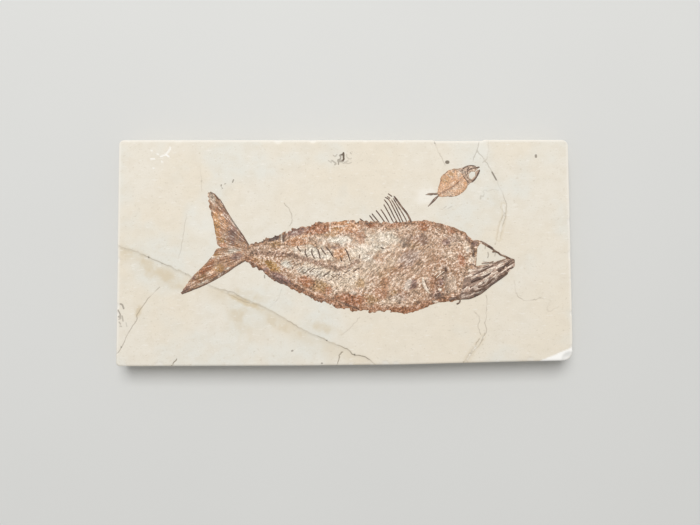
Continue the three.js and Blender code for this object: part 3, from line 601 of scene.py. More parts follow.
def nearest(x, y, route):
    """Nearest place on a polyline: its distance, the signed offset (left of the route is positive),
    how far along the route it is, and its point."""
    best = np.full(x.shape, np.inf)
    offset = np.zeros(x.shape)
    along = np.zeros(x.shape)
    px = np.array(x, float)
    py = np.array(y, float)
    gone = 0.0
    for (ax, ay), (bx, by) in zip(route[:-1], route[1:]):
        dx, dy = bx - ax, by - ay
        run = math.hypot(dx, dy)
        t = np.clip(((x - ax) * dx + (y - ay) * dy) / run ** 2, 0, 1)
        qx = ax + t * dx
        qy = ay + t * dy
        d = np.hypot(x - qx, y - qy)
        near = d < best
        best = np.where(near, d, best)
        offset = np.where(near, np.sign(dx * (y - qy) - dy * (x - qx)) * d, offset)
        along = np.where(near, gone + t * run, along)
        px = np.where(near, qx, px)
        py = np.where(near, qy, py)
        gone += run
    return best, offset, along, px, py


def depth_inside(x, y, corners):
    """Distance to the nearest side of a convex outline with its corners anticlockwise, positive inside."""
    depth = np.full(x.shape, np.inf)
    for (ax, ay), (bx, by) in zip(corners, corners[1:] + corners[:1]):
        side = math.hypot(bx - ax, by - ay)
        depth = np.minimum(depth, ((bx - ax) * (y - ay) - (by - ay) * (x - ax)) / side)
    return depth


def patches(x, y, table, rim=(1.25, 0.45), wobble_size=4.0):
    """Ovals, each (x, y, half length, half width, turn in degrees, strength), the strongest winning. Each
    fades out between two shares of its size, broken up by noise."""
    field = np.zeros(x.shape)
    wobble = 0.9 * (clouds(x, y, wobble_size, 311) - 0.5)
    for cx, cy, rx, ry, turn, strength in table:
        c, s = math.cos(math.radians(turn)), math.sin(math.radians(turn))
        u = ((x - cx) * c + (y - cy) * s) / rx
        v = ((y - cy) * c - (x - cx) * s) / ry
        field = np.maximum(field, strength * ramp(*rim, np.hypot(u, v) + wobble))
    return field


def blotches(x, y, tables):
    """The field of each pigment from its ovals: soft rims for the pale films, crisp broken ones for the
    rest."""
    fields = {}
    for name, table in tables.items():
        rim = (1.35, 0.35) if name in ("pale", "ash") else (1.3, 0.75)
        fields[name] = patches(x, y, table, rim, 2.0)
    return fields


def jagged(route, seed):
    """A crack's route: the curve through its points, shaken by about a third of a millimetre."""
    path = spline(route, 6)
    shake = np.random.default_rng(seed).normal(0, 0.28, path.shape)
    shake[0] = 0
    shake[-1] = 0
    return path + shake


CRACK_PATHS = [jagged(route, 41 + k) for k, (_, route) in enumerate(CRACKS)]
CRACK_DIRT = np.array([dirt for dirt, _ in CRACKS])
STROKE_PATHS = [spline(route, 3) for _, _, route in STROKES]
STROKE_HALF = np.array([half for half, _, _ in STROKES])
STROKE_INK = np.array([ink for _, ink, _ in STROKES])
SCRATCH_PATHS = [spline(route, 3) for route in FRESH_SCRATCHES]


def nearest_of(x, y, paths):
    """Nearest of several polylines: the distance, which of them it is, and its point."""
    best = np.full(x.shape, np.inf)
    which = np.zeros(x.shape, int)
    to_x = np.array(x, float)
    to_y = np.array(y, float)
    for k, path in enumerate(paths):
        d, _, _, px, py = nearest(x, y, path)
        near = d < best
        best = np.where(near, d, best)
        which = np.where(near, k, which)
        to_x = np.where(near, px, to_x)
        to_y = np.where(near, py, to_y)
    return best, which, to_x, to_y


def face_height(x, y):
    """Height of the bedding face: the slab's thickness less a slight swell, stepped down on the front
    left side of the long crack and inside the lost flake."""
    stone = bpy.context.scene.fossil_stone
    swell = 0.16 * clouds(x, y, 45, 3) + 0.05 * clouds(x, y, 9, 8) + 0.03
    offset = nearest(x, y, CRACK_PATHS[0])[1]
    broken = ramp(0, 0.8, -offset) * (0.75 + 0.25 * clouds(x, y, 30, 12))
    flake = ramp(0, 0.9, depth_inside(x, y, FLAKE_OUTLINE))
    return FACE - swell - stone.layer_drop / MM * broken - stone.flake_drop / MM * flake


# Meshes from arrays

class Shell:
    """Points, faces and per-point pigments of one closed surface."""

    def __init__(self, points, faces, pigments):
        self.points = points
        self.faces = faces
        self.pigments = pigments


def grid_faces(rows, cols):
    """The four corner numbers of each cell of a grid of points stored row by row."""
    i = np.arange(rows * cols).reshape(rows, cols)
    return np.stack([i[:-1, :-1], i[:-1, 1:], i[1:, 1:], i[1:, :-1]], -1).reshape(-1, 4)


def rim_of(rows, cols):
    """Point numbers around the border of a grid, anticlockwise."""
    i = np.arange(rows * cols).reshape(rows, cols)
    return np.concatenate([i[0, :-1], i[:-1, -1], i[-1, :0:-1], i[:0:-1, 0]])


def closed_film(x, y, z, bottom, pigments):
    """A height field made solid: its grid on top, a wall down from its border, one flat face below."""
    rows, cols = x.shape
    rim = rim_of(rows, cols)
    top = np.stack([x.ravel(), y.ravel(), z.ravel()], -1)
    foot = top[rim].copy()
    foot[:, 2] = bottom
    low = len(top) + np.arange(len(rim))
    wall = np.stack([rim, low, np.roll(low, -1), np.roll(rim, -1)], -1)
    faces = grid_faces(rows, cols).tolist() + wall.tolist() + [low[::-1].tolist()]
    shades = {name: np.concatenate([field.ravel(), field.ravel()[rim]]) for name, field in pigments.items()}
    return Shell(np.vstack([top, foot]), faces, shades)


def bone(route, half_widths, rise, sink, pigments):
    """A round-backed bar carried along a route on the face: an oval section, as wide as the half widths
    spread evenly along it, that tapers at both ends, its middle sunk below the face, or above it where sink
    is negative. Its pigments and its darkness vary by noise."""
    path = spline(route, BONE_SAMPLES)
    heading = np.gradient(path, axis=0)
    heading /= np.linalg.norm(heading, axis=1)[:, None]
    s = np.linspace(0, 1, len(path))
    taper = np.sqrt(np.clip(np.minimum(s, 1 - s) * 9, 0.01, 1))[:, None]
    angle = np.linspace(0, 2 * math.pi, BONE_SIDES, endpoint=False)[None, :]
    half_widths = np.atleast_1d(half_widths)
    half = np.interp(s, np.linspace(0, 1, len(half_widths)), half_widths)[:, None]
    across = half * taper * np.cos(angle)
    x = path[:, :1] - heading[:, 1:] * across
    y = path[:, 1:] + heading[:, :1] * across
    z = face_height(path[:, 0], path[:, 1])[:, None] - sink + rise * taper * np.sin(angle)
    n = len(path)
    i = np.arange(n * BONE_SIDES).reshape(n, BONE_SIDES)
    j = np.roll(i, -1, axis=1)
    tube = np.stack([i[:-1], j[:-1], j[1:], i[1:]], -1).reshape(-1, 4).tolist()
    faces = tube + [i[0][::-1].tolist(), i[-1].tolist()]
    points = np.stack([x.ravel(), y.ravel(), z.ravel()], -1)
    worn = 0.8 + 0.35 * ramp(0.3, 0.6, clouds(points[:, 0], points[:, 1], 2.2, 90))
    tones = {name: np.clip(value * worn, 0, 1) for name, value in pigments.items()}
    shade = 0.68 + 0.44 * ramp(0.36, 0.62, clouds(points[:, 0], points[:, 1], 1.7, 92))
    return Shell(points, faces, {**tones, "shade": shade})


def make_piece(name, shells, material):
    """One mesh object at the origin from all its shells, with their pigments as point attributes."""
    names = sorted({key for shell in shells for key in shell.pigments})
    faces = []
    start = 0
    for shell in shells:
        faces.extend([[corner + start for corner in face] for face in shell.faces])
        start += len(shell.points)
    mesh = bpy.data.meshes.new(name)
    mesh.from_pydata((np.vstack([shell.points for shell in shells]) * MM).tolist(), [], faces)
    for key in names:
        values = [shell.pigments.get(key, np.zeros(len(shell.points))) for shell in shells]
        attribute = mesh.attributes.new(key, "FLOAT", "POINT")
        attribute.data.foreach_set("value", np.concatenate(values).astype(np.float32))
    work = bmesh.new()
    work.from_mesh(mesh)
    bmesh.ops.recalc_face_normals(work, faces=work.faces)
    work.to_mesh(mesh)
    work.free()
    mesh.polygons.foreach_set("use_smooth", np.full(len(mesh.polygons), True))
    mesh.materials.append(material)
    piece = bpy.data.objects.new(name, mesh)
    bpy.context.scene.collection.objects.link(piece)
    return piece


# Materials

def linear(code):
    """A linear colour, opaque, from an sRGB hex code such as "#e3ddce"."""
    channels = [int(code[i:i + 2], 16) / 255 for i in (1, 3, 5)]
    return tuple(c / 12.92 if c <= 0.04045 else ((c + 0.055) / 1.055) ** 2.4 for c in channels) + (1.0,)


def add(tree, kind, settings=None, **inputs):
    """Adds a node, sets its properties, and gives each named input a value or a link."""
    node = tree.nodes.new(kind)
    for key, value in (settings or {}).items():
        setattr(node, key, value)
    sockets = {socket.identifier: socket for socket in node.inputs}
    for key, value in inputs.items():
        socket = sockets[key] if key in sockets else sockets[key.replace("_", " ")]
        if isinstance(value, bpy.types.NodeSocket):
            tree.links.new(value, socket)
        else:
            socket.default_value = value
    return node


def result(node, name):
    """The output of a node by its identifier."""
    return next(socket for socket in node.outputs if socket.identifier == name)


def new_material(name, **constants):
    """A material with its output and one Principled shader; returns it, its tree and the shader."""
    material = bpy.data.materials.new(name)
    material.use_nodes = True
    tree = material.node_tree
    tree.nodes.clear()
    shader = add(tree, "ShaderNodeBsdfPrincipled", None, **constants)
    add(tree, "ShaderNodeOutputMaterial", None, Surface=shader.outputs["BSDF"])
    return material, tree, shader


def mask_of(tree, name):
    """The socket of a point attribute."""
    return add(tree, "ShaderNodeAttribute", {"attribute_name": name}).outputs["Fac"]


def joined(tree, operation, first, second):
    """The socket of two others joined by a Math node."""
    node = add(tree, "ShaderNodeMath", {"operation": operation}, Value=first, Value_001=second)
    return node.outputs["Value"]


def spread(tree, value, span, to_span, curve="LINEAR"):
    """The socket of a value carried from one span to another, along a straight line or a smoothstep."""
    return add(tree, "ShaderNodeMapRange", {"interpolation_type": curve}, Value=value, From_Min=span[0],
               From_Max=span[1], To_Min=to_span[0], To_Max=to_span[1]).outputs["Result"]


def layered(tree, colour, layers):
    """The socket of colours laid over a first one in turn, each by its own share."""
    for share, paint in layers:
        mix = add(tree, "ShaderNodeMix", {"data_type": "RGBA"}, Factor_Float=share, A_Color=colour,
                  B_Color=tuple(paint))
        colour = result(mix, "Result_Color")
    return colour


def limestone_material(stone):
    """Lithographic limestone, split along its bedding, sawn at the sides and worn by rubbing: matt, chalky
    cream with faint warm and cool clouds, fine grain and pits, tan stain along the long crack, grey hairline
    cracks, darker sides with faint bedding lines, whiter where it is freshly broken, and a pale line along
    the edges that is partly worn stone and partly painted highlight."""
    material, tree, shader = new_material("lithographic_limestone", Roughness=0.82, IOR=1.52)
    place = add(tree, "ShaderNodeTexCoord").outputs["Object"]
    names = ("crack", "dirt", "stroke", "ink", "stain", "fresh", "sawn", "rim")
    masks = {name: mask_of(tree, name) for name in names}
    shares = {}
    for k, (name, (size, low, high, most)) in enumerate(STONE_NOISES.items()):
        shift = add(tree, "ShaderNodeMapping", None, Vector=place,
                    Location=(NOISE_SHIFT[0] * k, NOISE_SHIFT[1] * k, 0),
                    Scale=tuple(1 / (side * MM) for side in size))
        field = add(tree, "ShaderNodeTexNoise", None, Vector=shift.outputs["Vector"], Scale=1.0, Detail=3.0)
        shares[name] = spread(tree, field.outputs["Fac"], (low, high), (0.0, most), "SMOOTHSTEP")
    near_crack = spread(tree, masks["crack"], (0.05, stone.crack_width / MM), (1.0, 0.0), "SMOOTHSTEP")
    in_stroke = spread(tree, masks["stroke"], (-0.1, 0.3), (1.0, 0.0), "SMOOTHSTEP")
    hairline = joined(tree, "MULTIPLY", near_crack, masks["dirt"])
    stroke = joined(tree, "MULTIPLY", in_stroke, masks["ink"])
    bedding = joined(tree, "MULTIPLY", shares["bedding"], masks["sawn"])
    layers = [
        (shares["warm"], stone.warm), (shares["cool"], stone.cool), (shares["mottle"], stone.mottle),
        (masks["stain"], stone.stain), (shares["speckle"], stone.grain), (shares["scuff"], stone.wear_and_highlight),
        (shares["pit"], stone.grain), (masks["sawn"], stone.sawn), (bedding, stone.grain),
        # The pale rim of the edges is partly worn stone and partly painted highlight, left off the front
        # edge, which faces away from the light
        (shares["grain"], stone.grain), (masks["rim"], stone.wear_and_highlight), (masks["fresh"], stone.fresh),
        (hairline, stone.crack), (stroke, stone.mark),
    ]
    tree.links.new(layered(tree, tuple(stone.base), layers), shader.inputs["Base Color"])
    grit = add(tree, "ShaderNodeTexNoise", None, Vector=place, Scale=1 / (GRIT_SIZE * MM), Detail=4.0)
    lift = joined(tree, "SUBTRACT", grit.outputs["Fac"], hairline)
    pitted = joined(tree, "SUBTRACT", lift, shares["pit"])
    bump = add(tree, "ShaderNodeBump", None, Strength=0.4, Distance=BUMP_DEPTH * MM, Height=pitted)
    tree.links.new(bump.outputs["Normal"], shader.inputs["Normal"])
    return material


def bone_material(name, fossil):
    """Phosphatised bone and scale, flattened and iron-stained: brown to rust, satin where the enamel is
    kept, chalky and pale where it has flaked; its pigments come as attributes of the film, and darker flakes
    are richer in colour."""
    material, tree, shader = new_material(name, Roughness=0.62, IOR=1.62)
    place = add(tree, "ShaderNodeTexCoord").outputs["Object"]
    layers = [(mask_of(tree, pigment), getattr(fossil, pigment)) for pigment in PIGMENTS]
    colour = layered(tree, tuple(fossil.pale), layers)
    speckle = add(tree, "ShaderNodeTexNoise", None, Vector=place, Scale=1 / (SPECK_SIZE * MM), Detail=3.0)
    grain = speckle.outputs["Fac"]
    flake = mask_of(tree, "shade")
    brightness = joined(tree, "MULTIPLY", spread(tree, grain, (0.3, 0.7), (0.5, 1.54)), flake)
    richness = spread(tree, flake, (0.4, 1.1), (1.25, 0.93))
    toned = add(tree, "ShaderNodeHueSaturation", None, Color=colour, Value=brightness, Saturation=richness)
    tree.links.new(toned.outputs["Color"], shader.inputs["Base Color"])
    tree.links.new(spread(tree, grain, (0.35, 0.7), (0.48, 0.78)), shader.inputs["Roughness"])
    bump = add(tree, "ShaderNodeBump", None, Strength=0.4, Distance=BUMP_DEPTH * MM, Height=grain)
    tree.links.new(bump.outputs["Normal"], shader.inputs["Normal"])
    return material


# Settings

def tint(name, code, description):
    """A colour setting with its default from a hex code."""
    return bpy.props.FloatVectorProperty(name=name, description=description, subtype="COLOR", size=4,
                                         min=0, max=1, default=linear(code))


def length(name, size, description):
    """A length setting, its default given in millimetres."""
    return bpy.props.FloatProperty(name=name, description=description, unit="LENGTH", default=size * MM)


class FossilStone(bpy.types.PropertyGroup):
    """Sizes and colours of the limestone."""

    layer_drop: length("Layer drop", 0.5, "Step of the broken layer along the long crack")
    flake_drop: length("Flake drop", 0.35, "Depth of the lost flake at the back edge")
    crack_depth: length("Crack depth", 0.3, "Depth of the grooves along the cracks")
    crack_width: length("Crack width", 0.55, "Half width of the dark line along a crack")
    worn_radius: length("Worn edge", 1.0, "Rounding of the rubbed edges")
    spacing: length("Grid", 0.8, "Spacing of the points on the face")
    base: tint("Stone", "#e6dfd1", "Cream of the clean stone")
    warm: tint("Warm cloud", "#e6dac5", "Yellowish clouds in the stone")
    cool: tint("Cool cloud", "#e0dfd6", "Greyish clouds in the stone")
    mottle: tint("Mottle", "#ddd3c1", "Small faint blotches")
    stain: tint("Stain", "#d3c3a6", "Tan stain beside the long crack")
    sawn: tint("Sawn face", "#d5cdbd", "Sides and underside")
    grain: tint("Grain", "#cfc5b3", "Fine dark grains")
    # Pale of the scuffs and of the edges: worn stone, and along the edges also painted highlight
    wear_and_highlight: tint("Rubbed edge", "#efeae0", "Pale bruised line of the edges")
    fresh: tint("Fresh break", "#faf8f3", "White of a new chip")
    crack: tint("Crack", "#8a7c68", "Dirt in the cracks")
    mark: tint("Dark mark", "#5f5040", "Spots, dendrites and the bone scrap")


class FossilBone(bpy.types.PropertyGroup):
    """Sizes and colours of the fossil films and bones."""

    film: length("Film", 0.2, "Thickness of the bone film above the stone")
    bone_rise: length("Bone rise", 0.4, "Half height of the bones' oval section")
    spacing: length("Grid", 0.4, "Spacing of the points on a film")
    pale: tint("Pale film", "#e8d5bc", "Thin pale film")
    tan: tint("Tan film", "#b88d6e", "Common tan of the scales")
    peach: tint("Peach", "#dba77c", "Light orange film")
    ash: tint("Ash", "#d9d8cc", "Pale grey film and bare stone")
    ochre: tint("Ochre", "#ad8248", "Yellow-brown patches")
    rust: tint("Rust", "#b57a56", "Iron-red patches")
    plum: tint("Plum", "#8c685f", "Purplish grey-brown")
    umber: tint("Umber", "#593e2f", "Dark brown bone and specks")
    cream: tint("Cream", "#f3e3d0", "Light flakes")


class FossilStage(bpy.types.PropertyGroup):
    """Camera, lights and floor."""

    view_distance: length("View distance", 395.34, "From the lens to the face along the view")
    view_tilt: bpy.props.FloatProperty(name="View tilt", description="Lean of the view from straight down",
                                       subtype="ANGLE", default=math.radians(2.72))
    focal_pixels: bpy.props.FloatProperty(name="Focal length", default=600.0,
                                          description="In pixels of a 700 pixel wide image")
    key_power: bpy.props.FloatProperty(name="Key light", description="Power of the large soft light",
                                       subtype="POWER", default=25.6)
    ambient: bpy.props.FloatProperty(name="Ambient", description="Strength of the light from all round",
                                     default=0.42)
    floor: tint("Floor", "#d9d9d6", "Plain pale floor")


# Slab

def edge_at(edge, at):
    """A border line read at one coordinate from its corner points."""
    return np.interp(at, [p[0] for p in edge], [p[1] for p in edge])


def rounded_corner(x, y, corner, radius):
    """The square of cells at a corner squeezed into a quarter disc, (p, q) to (p sqrt(1 - q q / 2),
    q sqrt(1 - p p / 2)), where p and q run from 0 to 1 towards the corner."""
    sx, sy = np.sign(corner)
    p = (x - corner[0]) * sx / radius + 1
    q = (y - corner[1]) * sy / radius + 1
    inside = (p > 0) & (q > 0)
    p2 = np.where(inside, p * np.sqrt(np.clip(1 - q * q / 2, 0, 1)), p)
    q2 = np.where(inside, q * np.sqrt(np.clip(1 - p * p / 2, 0, 1)), q)
    return corner[0] + (p2 - 1) * sx * radius, corner[1] + (q2 - 1) * sy * radius


def face_grid(stone):
    """Points of the bedding face: an even grid stretched between the four edges, with round corners."""
    worn = stone.worn_radius / MM
    step = stone.spacing / MM
    cols = round(2 * HALF_X / step) + 1
    rows = round(2 * HALF_Y / step) + 1
    u, v = np.meshgrid(np.linspace(0, 1, cols), np.linspace(0, 1, rows))
    level = -HALF_Y + 2 * HALF_Y * v
    left = edge_at(LEFT_EDGE, level) + worn
    right = edge_at(RIGHT_EDGE, level) - worn
    x = left + (right - left) * u
    front = edge_at(FRONT_EDGE, x) + FRONT_WORN * worn
    back = edge_at(BACK_EDGE, x) - worn
    y = front + (back - front) * v
    ends = {"front_left": (0, 0), "front_right": (0, -1), "back_right": (-1, -1), "back_left": (-1, 0)}
    for name, place in ends.items():
        x, y = rounded_corner(x, y, np.array([x[place], y[place]]), CORNER_RADII[name])
    return x, y


def edge_chips():
    """Small chips spread along the four edges: centre, radius and depth of each, from one seed."""
    rng = np.random.default_rng(17)
    chips = []
    for k in range(EDGE_CHIPS):
        t = rng.uniform(-CHIP_REACH, CHIP_REACH)
        side = k % 4
        x = (t * HALF_X, HALF_X, t * HALF_X, -HALF_X)[side]
        y = (edge_at(FRONT_EDGE, x), t * CHIPPED_SIDE, edge_at(BACK_EDGE, x), t * CHIPPED_SIDE)[side]
        chips.append((x, y, rng.uniform(*CHIP_RADII), rng.uniform(*CHIP_DEPTHS)))
    return chips


def chip_depth(x, y):
    """How deep the face is broken away: the front right corner and the small chips along the edges,
    each a shallow bowl."""
    (cx, cy), (rx, ry, rz) = CORNER_CHIP
    bowl = np.clip(1 - ((x - cx) / rx) ** 2 - ((y - cy) / ry) ** 2, 0, 1)
    depth = 0.5 * rz * bowl * (0.8 + 0.4 * clouds(x, y, 2.5, 77))
    for cx, cy, radius, deep in edge_chips():
        bowl = np.clip(1 - ((x - cx) ** 2 + (y - cy) ** 2) / radius ** 2, 0, 1)
        depth = np.maximum(depth, deep * np.sqrt(bowl))
    return depth


def snapped(x, y, step):
    """Points close to a crack or a stroke moved onto it, so that these follow their routes and not the grid.
    Border points stay."""
    best, _, to_x, to_y = nearest_of(x, y, CRACK_PATHS + STROKE_PATHS)
    reach = np.maximum(np.abs(to_x - x), np.abs(to_y - y))
    close = best ** 2 <= 0.5 * step * reach
    close[[0, -1], :] = False
    close[:, [0, -1]] = False
    return np.where(close, to_x, x), np.where(close, to_y, y)


def line_masks(x, y):
    """Distance to the nearest crack and how dirty it is there, by noise and twice as much on the right of the
    long crack; distance to the outline of the nearest stroke (negative inside) and how dark that is."""
    crack, which, _, _ = nearest_of(x, y, CRACK_PATHS)
    dirt = CRACK_DIRT[which] * (1 + (which == 0) * ramp(-4, 4, x))
    dirt = dirt * (0.35 + 0.65 * ramp(0.36, 0.56, clouds(x, y, 7, 25)))
    stroke, which, _, _ = nearest_of(x, y, STROKE_PATHS)
    return {"crack": crack, "dirt": dirt, "stroke": stroke - STROKE_HALF[which], "ink": STROKE_INK[which]}


def stone_masks(x, y):
    """Tan stain and fresh breaks of the face, each from 0 to 1. Stain is the greatest of a band on the
    dropped side of the long crack, patches broken up by clouds, and the rims of the pale bands. Fresh is the
    greatest of the chips, the broken corner, the scratches, the pale patches and the pale bands."""
    offset = nearest(x, y, CRACK_PATHS[0])[1]
    band = ramp(*CRACK_STAIN, offset) * ramp(0.8, 0, offset) * ramp(0.3, 0.7, clouds(x, y, 18, 21))
    spots = patches(x, y, STAIN_PATCHES, (1.45, 0.3)) * (0.4 + 0.6 * ramp(0.32, 0.58, clouds(x, y, 5, 33)))
    stain = np.maximum(0.45 * band, spots)
    chips = 0.3 * ramp(0.05, 0.5, chip_depth(x, y))
    scratch = 0.9 * ramp(0.8, 0.15, nearest_of(x, y, SCRATCH_PATHS)[0])
    corner = ramp(-0.4, 0.5, depth_inside(x, y, FRESH_CORNER) + 0.8 * (clouds(x, y, 2, 27) - 0.5))
    fresh = np.maximum.reduce([chips, corner, scratch, patches(x, y, PALE_PATCHES)])
    wander = 1.6 * (clouds(x, y, 1.6, 29) - 0.5)
    broken = ramp(0.35, 0.6, clouds(x, y, 3.5, 31))
    for half, strength, route in PALE_BANDS:
        off = nearest(x, y, spline(route, 4))[0] + wander
        rim = ramp(half + 1.9, half + 0.3, off) * ramp(half - 0.5, half + 0.4, off)
        fresh = np.maximum(fresh, strength * ramp(half + 0.6, half - 0.4, off) * broken)
        stain = np.maximum(stain, 0.45 * rim)
    return {"stain": stain, "fresh": fresh}


def skirt_profile(stone):
    """The slab's side as rows: how far out each lies, and its height as a drop from the face (round edge)
    or as a share of the way to the underside."""
    arc = np.linspace(0, math.pi / 2, ROUND_ROWS + 1)[1:]
    worn = stone.worn_radius / MM
    rows = [(math.sin(a), worn * (1 - math.cos(a)), 0.0) for a in arc]
    rows += [(1.0, worn, share) for share in SIDE_SHARES]
    rows += [(out, worn, share) for out, share in FOOT_ROWS]
    return rows


def slab_skirt(stone, border):
    """Sides and underside as one grid: each row is the border loop moved out and down along the side's
    profile, then shrunk towards the middle of the underside in rings."""
    worn = stone.worn_radius / MM
    heading = np.roll(border, -1, axis=0) - np.roll(border, 1, axis=0)
    out = np.stack([heading[:, 1], -heading[:, 0]], -1)
    out /= np.linalg.norm(out, axis=1)[:, None]
    reach_out = worn * (1 + (FRONT_WORN - 1) * np.clip(-out[:, 1], 0, 1))
    run = np.cumsum(np.linalg.norm(heading[:, :2], axis=1)) / 2
    rows = []
    for share_out, drop, share_down in skirt_profile(stone):
        z = border[:, 2] - drop
        z = z * (1 - share_down)
        rough = 0.3 * clouds(run, z * 1.6 + 300, 14, 51) + 0.12 * clouds(run, z + 500, 2.2, 57)
        rough *= min(1.0, share_out) * (share_down > 0)
        flat = border[:, :2] + out * (reach_out * share_out - rough)[:, None]
        rows.append(np.column_stack([flat, z]))
    foot = rows[-1]
    for ring in UNDERSIDE_RINGS:
        flat = foot[:, :2] * (1 - ring)
        z = 0.12 * clouds(flat[:, 0], flat[:, 1], 18, 61) * ramp(0, 0.05, np.full(len(flat), ring))
        rows.append(np.column_stack([flat, z]))
    skirt = np.array(rows)
    x, y, z = skirt[..., 0], skirt[..., 1], skirt[..., 2]
    for (cx, cy), (rx, ry, rz) in UNDERSIDE_SCARS:
        bowl = np.sqrt(np.clip(1 - ((x - cx) / rx) ** 2 - ((y - cy) / ry) ** 2, 0, 1))
        skirt[..., 2] = np.maximum(skirt[..., 2], rz * bowl * (0.8 + 0.4 * clouds(x, y, 5, 71)))
    return skirt


def split_cells(cells, nearness):
    """Four-cornered cells cut into triangles, each along the diagonal whose ends lie nearer to a line."""
    near = nearness[cells]
    other = near[:, 1] + near[:, 3] < near[:, 0] + near[:, 2]
    one_way = cells[:, [[0, 1, 2], [0, 2, 3]]]
    other_way = cells[:, [[0, 1, 3], [1, 2, 3]]]
    return np.where(other[:, None, None], other_way, one_way).reshape(-1, 3)


def slab_masks(stone, top, border, skirt):
    """Masks of the stone on the face's points and then the skirt's: stains, breaks and lines, which fade out
    a few millimetres down the sides by a ragged line while some dirt stays in the cracks; the pale rim of the
    edges, partly worn stone and partly painted highlight, which is weak or missing on the front edge as that
    faces away from the light; and the sawn sides and underside."""
    x, y, z = np.vstack([top, skirt.reshape(-1, 3)]).T
    masks = {**stone_masks(x, y), **line_masks(x, y)}
    top_x, top_y = top[:, 0], top[:, 1]
    inward = np.minimum.reduce([edge_at(BACK_EDGE, top_x) - top_y, top_y - edge_at(FRONT_EDGE, top_x),
                                top_x - edge_at(LEFT_EDGE, top_y), edge_at(RIGHT_EDGE, top_y) - top_x])
    # Pale rim on the face near the edges: partly worn stone, partly painted highlight, weaker along the front
    # edge, which is in shade
    bruise_and_highlight = 0.7 * ramp(2.2, 0.9, inward) * (1 - 0.7 * ramp(-66, -70, top_y))
    rubbed_and_lit = np.zeros(skirt.shape[:2])
    # Pale rim on the round edge: partly worn stone, partly painted highlight, none on the front edge, which
    # is in shade
    rubbed_and_lit[:RUBBED_AND_LIT_ROWS] = 0.8 * (1 - ramp(-60, -68, border[:, 1]))
    sawn = np.ones(skirt.shape[:2])
    sawn[:RUBBED_AND_LIT_ROWS] = 0.0
    sawn[RUBBED_AND_LIT_ROWS] = 0.5
    masks["rim"] = np.concatenate([bruise_and_highlight, rubbed_and_lit.ravel()])
    masks["sawn"] = np.concatenate([np.zeros(len(top)), sawn.ravel()])
    kept = ramp(5, 0.8, FACE - z + 3.5 * (clouds(x + y, z + 200, 3, 83) - 0.5))
    kept[:len(top)] = 1
    underside = len(top) + len(skirt_profile(stone)) * len(border)
    for name, least in (("stain", 0.0), ("fresh", 0.0), ("dirt", 0.25), ("ink", 0.0)):
        masks[name] = masks[name] * (least + (1 - least) * kept)
        masks[name][underside:] = 0
    return masks


def slab_shell(stone):
    """The whole slab: the face as triangles whose diagonals follow the cracks, its skirt, and one flat
    face that closes the middle of the underside."""
    x, y = snapped(*face_grid(stone), stone.spacing / MM)
    lines = line_masks(x, y)
    groove = stone.crack_depth / MM * ramp(0.5, 0.0, lines["crack"]) * lines["dirt"]
    z = face_height(x, y) - groove - chip_depth(x, y)
    top = np.stack([x.ravel(), y.ravel(), z.ravel()], -1)
    face = split_cells(grid_faces(*x.shape), np.minimum(lines["crack"], lines["stroke"]).ravel())
    rim = rim_of(*x.shape)
    skirt = slab_skirt(stone, top[rim])
    loops = np.vstack([rim, len(top) + np.arange(skirt[..., 0].size).reshape(-1, len(rim))])
    after = np.roll(loops, -1, axis=1)
    wall = np.stack([loops[:-1], loops[1:], after[1:], after[:-1]], -1).reshape(-1, 4)
    faces = face.tolist() + wall.tolist() + [loops[-1][::-1].tolist()]
    return Shell(np.vstack([top, skirt.reshape(-1, 3)]), faces, slab_masks(stone, top, top[rim], skirt))


# Large fish

def body_lines(stations, count):
    """Even steps along a body with its belly and back there, read from the curve through its stations."""
    dense = spline(stations, 12)
    x = np.linspace(dense[0, 0], dense[-1, 0], count)
    return x, np.interp(x, dense[:, 0], dense[:, 1]), np.interp(x, dense[:, 0], dense[:, 2])


def body_grid(stations, step, margin):
    """A body's grid: columns along it, rows from just below the belly to just above the back. Gives x, y,
    the share of the way up, and the depth inside each outline."""
    cols = round((stations[-1][0] - stations[0][0]) / step) + 1
    x, belly, back = body_lines(stations, cols)
    rows = round((back - belly + 2 * margin).max() / step) + 1
    t = np.linspace(0, 1, rows)[:, None]
    y = (belly - margin) + (back - belly + 2 * margin) * t
    slope_low = np.cos(np.arctan(np.gradient(belly, x)))
    slope_high = np.cos(np.arctan(np.gradient(back, x)))
    x = np.broadcast_to(x, y.shape)
    return x, y, (y - belly) / (back - belly), (y - belly) * slope_low, (back - y) * slope_high


def flakes(x, y, size, seed, stretch=1.0, turn=0.0):
    """Crushed flakes: each place takes the random tone of its nearest of scattered centres, one in each cell
    of a turned and stretched lattice."""
    table = np.random.default_rng(seed).random((3, LATTICE, LATTICE))
    u = (x * math.cos(turn) + y * math.sin(turn)) / (size * stretch)
    v = (y * math.cos(turn) - x * math.sin(turn)) / size
    i = np.floor(u).astype(int)
    j = np.floor(v).astype(int)
    best = np.full(x.shape, np.inf)
    tone = np.zeros(x.shape)
    for di, dj in np.ndindex(3, 3):
        a = i + di - 1
        b = j + dj - 1
        du, dv, shade = table[:, a % LATTICE, b % LATTICE]
        d = np.hypot(a + du - u, b + dv - v)
        tone = np.where(d < best, shade, tone)
        best = np.minimum(best, d)
    return tone


def even(mix, steepness=10.0):
    """Tones that crowd round a half spread out evenly from 0 to 1, by the logistic curve."""
    return 1 / (1 + np.exp(-steepness * (mix - 0.5)))


def curls(x, y, size, seed):
    """Curled lines, 0 to 1: the narrow places where a smooth noise passes through a half."""
    return ramp(0.13, 0.03, np.abs(noise(x, y, size, seed) - 0.5))


